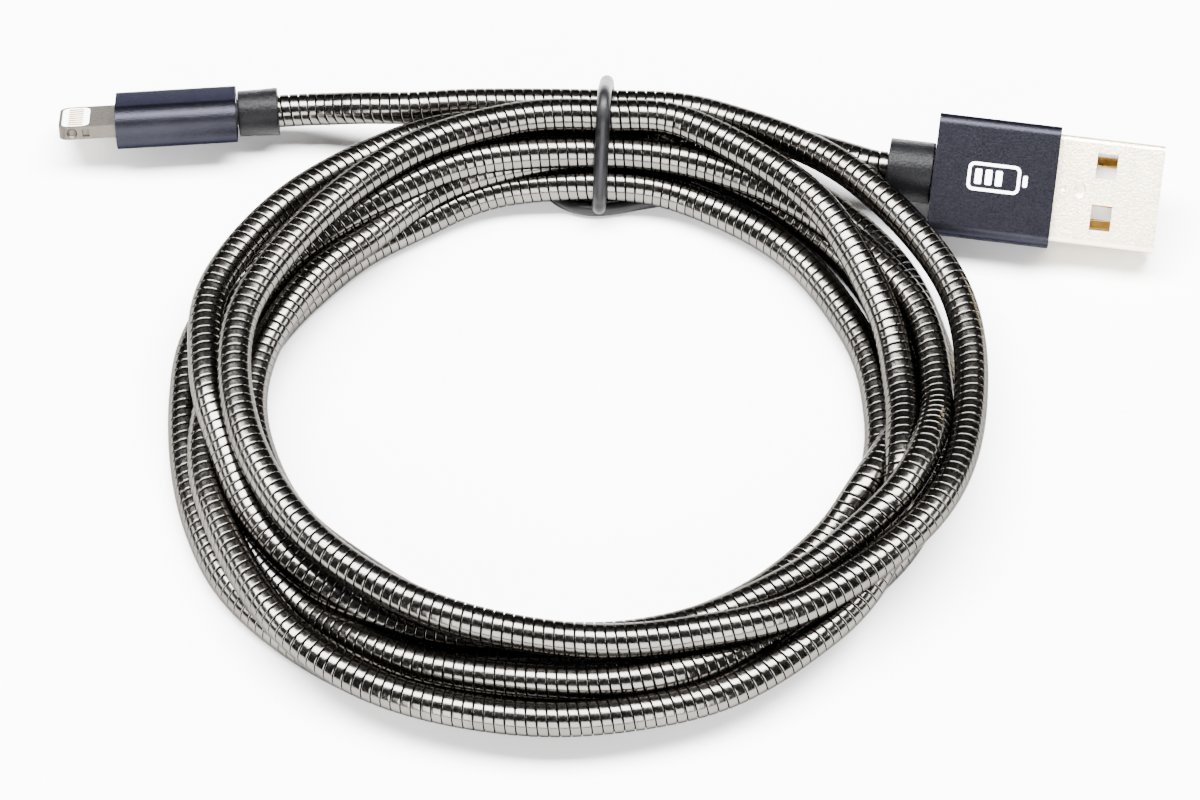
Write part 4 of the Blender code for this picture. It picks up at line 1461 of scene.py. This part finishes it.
class Tie:
    """The rubber loop around the bundle.

    Args:
        route: The settled cord, which the loop is drawn around.
        finishes: The finishes.
    """

    # The run on the table that joins the loop's ends, as (X, Y).
    FLOOR_RUN = [(-1.0, -0.4), (-2.2, 1.2), (-4.2, 1.6), (-5.9, 0.6), (-6.0, -1.2), (-4.2, -2.6),
                 (-1.8, -3.2), (0.8, -3.0), (3.4, -2.4), (6.0, -1.8), (8.2, -1.0), (8.8, 0.8), (7.4, 2.8),
                 (5.0, 4.8), (2.6, 6.8)]
    CIRCLE_STEPS = 48
    RAY_FIRST = 205.0
    RAY_LAST = -25.0
    RAYS = 24
    TANGENT_REACH = 1.3
    TANGENTS = 53
    SPLINE_STEPS = 8
    OVERLAP = 2  # rows repeated at the seam, so that the spline closes smoothly
    BEVEL_STEPS = 6

    def __init__(self, route: Route, finishes: Finishes) -> None:
        """Keep what it is made from."""
        self.route = route
        self.finishes = finishes

    def section(self) -> np.ndarray:
        """Returns:
            The cord's crossings of the tie's plane, as (Y, Z).
        """
        points = self.route.points
        side = points[:, 0] - TIE.x
        crossing = np.nonzero((side[:-1] * side[1:] <= 0) & (points[:-1, 1] > TIE.far_side))[0]
        return np.array([(points[i, 1:] + points[i + 1, 1:]) / 2 for i in crossing])

    def around(self, reach: float) -> np.ndarray:
        """Args:
            reach: Distance of the loop's centre line from the cord's.

        Returns:
            The tight loop around the crossings, from the near side over the top to the far side.
        """
        centres = self.section()
        turns = np.linspace(0, 2 * math.pi, self.CIRCLE_STEPS, endpoint=False)
        cloud = np.vstack([centres + reach * np.array([math.cos(t), math.sin(t)]) for t in turns])
        middle = centres.mean(0)
        loop = []
        for ray in np.radians(np.linspace(self.RAY_FIRST, self.RAY_LAST, self.RAYS)):
            reaches = []
            for angle in np.linspace(ray - self.TANGENT_REACH, ray + self.TANGENT_REACH, self.TANGENTS):
                way = np.array([math.cos(angle), math.sin(angle)])
                reaches.append(float((cloud @ way).max() - middle @ way) / math.cos(angle - ray))
            loop.append(middle + np.array([math.cos(ray), math.sin(ray)]) * min(reaches))
        return np.array(loop)

    def build(self) -> bpy.types.Object:
        """Returns:
            The rubber loop.
        """
        half = TIE.thickness / 2
        over = self.around(CORD.diameter / 2 + half + TIE.cord_gap)
        lowest = half + TIE.table_gap
        points = []
        for number, (y, z) in enumerate(over):
            share = number / (len(over) - 1)
            points.append((TIE.x + TIE.lean_start + TIE.lean * share, y, max(z, lowest)))
        points += [(x, y, lowest) for x, y in reversed(self.FLOOR_RUN)]
        rows = np.array(points)
        closed = np.vstack([rows[-self.OVERLAP:], rows, rows[:self.OVERLAP]])
        seam = self.OVERLAP * self.SPLINE_STEPS
        fine = smooth_through(closed, self.SPLINE_STEPS)[seam:-seam - 1]
        fine[:, 2] = np.maximum(fine[:, 2], half)
        holder = curve_object("tie_line", fine, half, closed=True, resolution=self.BEVEL_STEPS)
        piece = evaluated(holder, "tie_rubber_loop")
        piece.data.shade_smooth()
        finish_piece(piece, self.finishes.rubber, "tie")
        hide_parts("tie")
        return piece


# ---- studio -------------------------------------------------------------------------------------


@dataclass(frozen=True)
class Softbox:
    """An area light aimed at the middle of the cable.

    Args:
        name: Its name.
        place: Its place in metres.
        size: Its size in metres.
        power: Its power in watts.
    """

    name: str
    place: tuple[float, float, float]
    size: tuple[float, float]
    power: float


class Studio:
    """The camera, the table and the lights."""

    CAMERA_PLACE = (-0.85, -311.54, 388.3)
    CAMERA_AIM = (-0.85, -29.41, 0.0)
    LENS = 130.6
    SENSOR_WIDTH = 36.0
    CLIP_START = 0.01
    TABLE_HALF = 0.16
    SKY = (0.03, 0.03, 0.031)
    LIGHT_AIM = (0.0, -0.03, 0.0)
    LIGHTS = (
        Softbox("softbox_above", (0.0, 0.10, 0.80), (1.2, 0.38), 104.0),
        Softbox("softbox_front", (0.0, -0.80, 0.27), (0.9, 0.46), 26.0),
        Softbox("softbox_left", (-0.85, -0.03, 0.38), (0.5, 0.16), 6.0),
        Softbox("softbox_right", (0.85, -0.03, 0.38), (0.5, 0.16), 6.0),
    )

    @staticmethod
    def aim(made: bpy.types.Object, target: Vector) -> None:
        """Turn a camera or light towards a point.

        Args:
            made: The camera or light.
            target: The point in metres.
        """
        made.rotation_euler = (target - made.location).to_track_quat("-Z", "Y").to_euler()

    def camera(self) -> None:
        """Place the camera."""
        data = bpy.data.cameras.new("camera")
        data.lens = self.LENS
        data.sensor_width = self.SENSOR_WIDTH
        data.clip_start = self.CLIP_START
        made = link("camera", data)
        made.location = Vector(self.CAMERA_PLACE) * MM
        self.aim(made, Vector(self.CAMERA_AIM) * MM)
        bpy.context.scene.camera = made

    def table(self) -> None:
        """Lay the table."""
        mesh = bpy.data.meshes.new("table")
        work = bmesh.new()
        bmesh.ops.create_grid(work, x_segments=2, y_segments=2, size=self.TABLE_HALF)
        work.to_mesh(mesh)
        work.free()
        made = link("table", mesh)
        mesh.materials.append(TableFinish().material())

    def lights(self) -> None:
        """Hang the softboxes and dim the room."""
        world = bpy.data.worlds.new("room")
        world.use_nodes = True
        world.node_tree.nodes["Background"].inputs["Color"].default_value = (*self.SKY, 1.0)
        bpy.context.scene.world = world
        for box in self.LIGHTS:
            data = bpy.data.lights.new(box.name, "AREA")
            data.shape = "RECTANGLE"
            data.size, data.size_y = box.size
            data.energy = box.power
            made = link(box.name, data)
            made.location = box.place
            self.aim(made, Vector(self.LIGHT_AIM))


# ---- main ---------------------------------------------------------------------------------------


NODES: dict[str, bpy.types.Object] = {}


def main() -> None:
    """Build the studio, the cord, the plugs and the tie."""
    logging.basicConfig(level=logging.INFO, format="%(message)s")
    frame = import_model()
    NODES.update(frame["nodes"])
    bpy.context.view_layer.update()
    finishes = Finishes()

    studio = Studio()
    studio.camera()

    route = Route(CORD)
    log.info("cord length %.1f mm", route.length())
    cord = ArmouredCord(CORD, route, finishes)
    cord.build()
    cord.declare()

    UsbPlug("usb", USB_FRAME, finishes).build()
    PhonePlug("phone", PHONE_FRAME, finishes).build()
    Tie(route, finishes).build()

    studio.table()
    studio.lights()


if __name__ == "__main__":
    main()
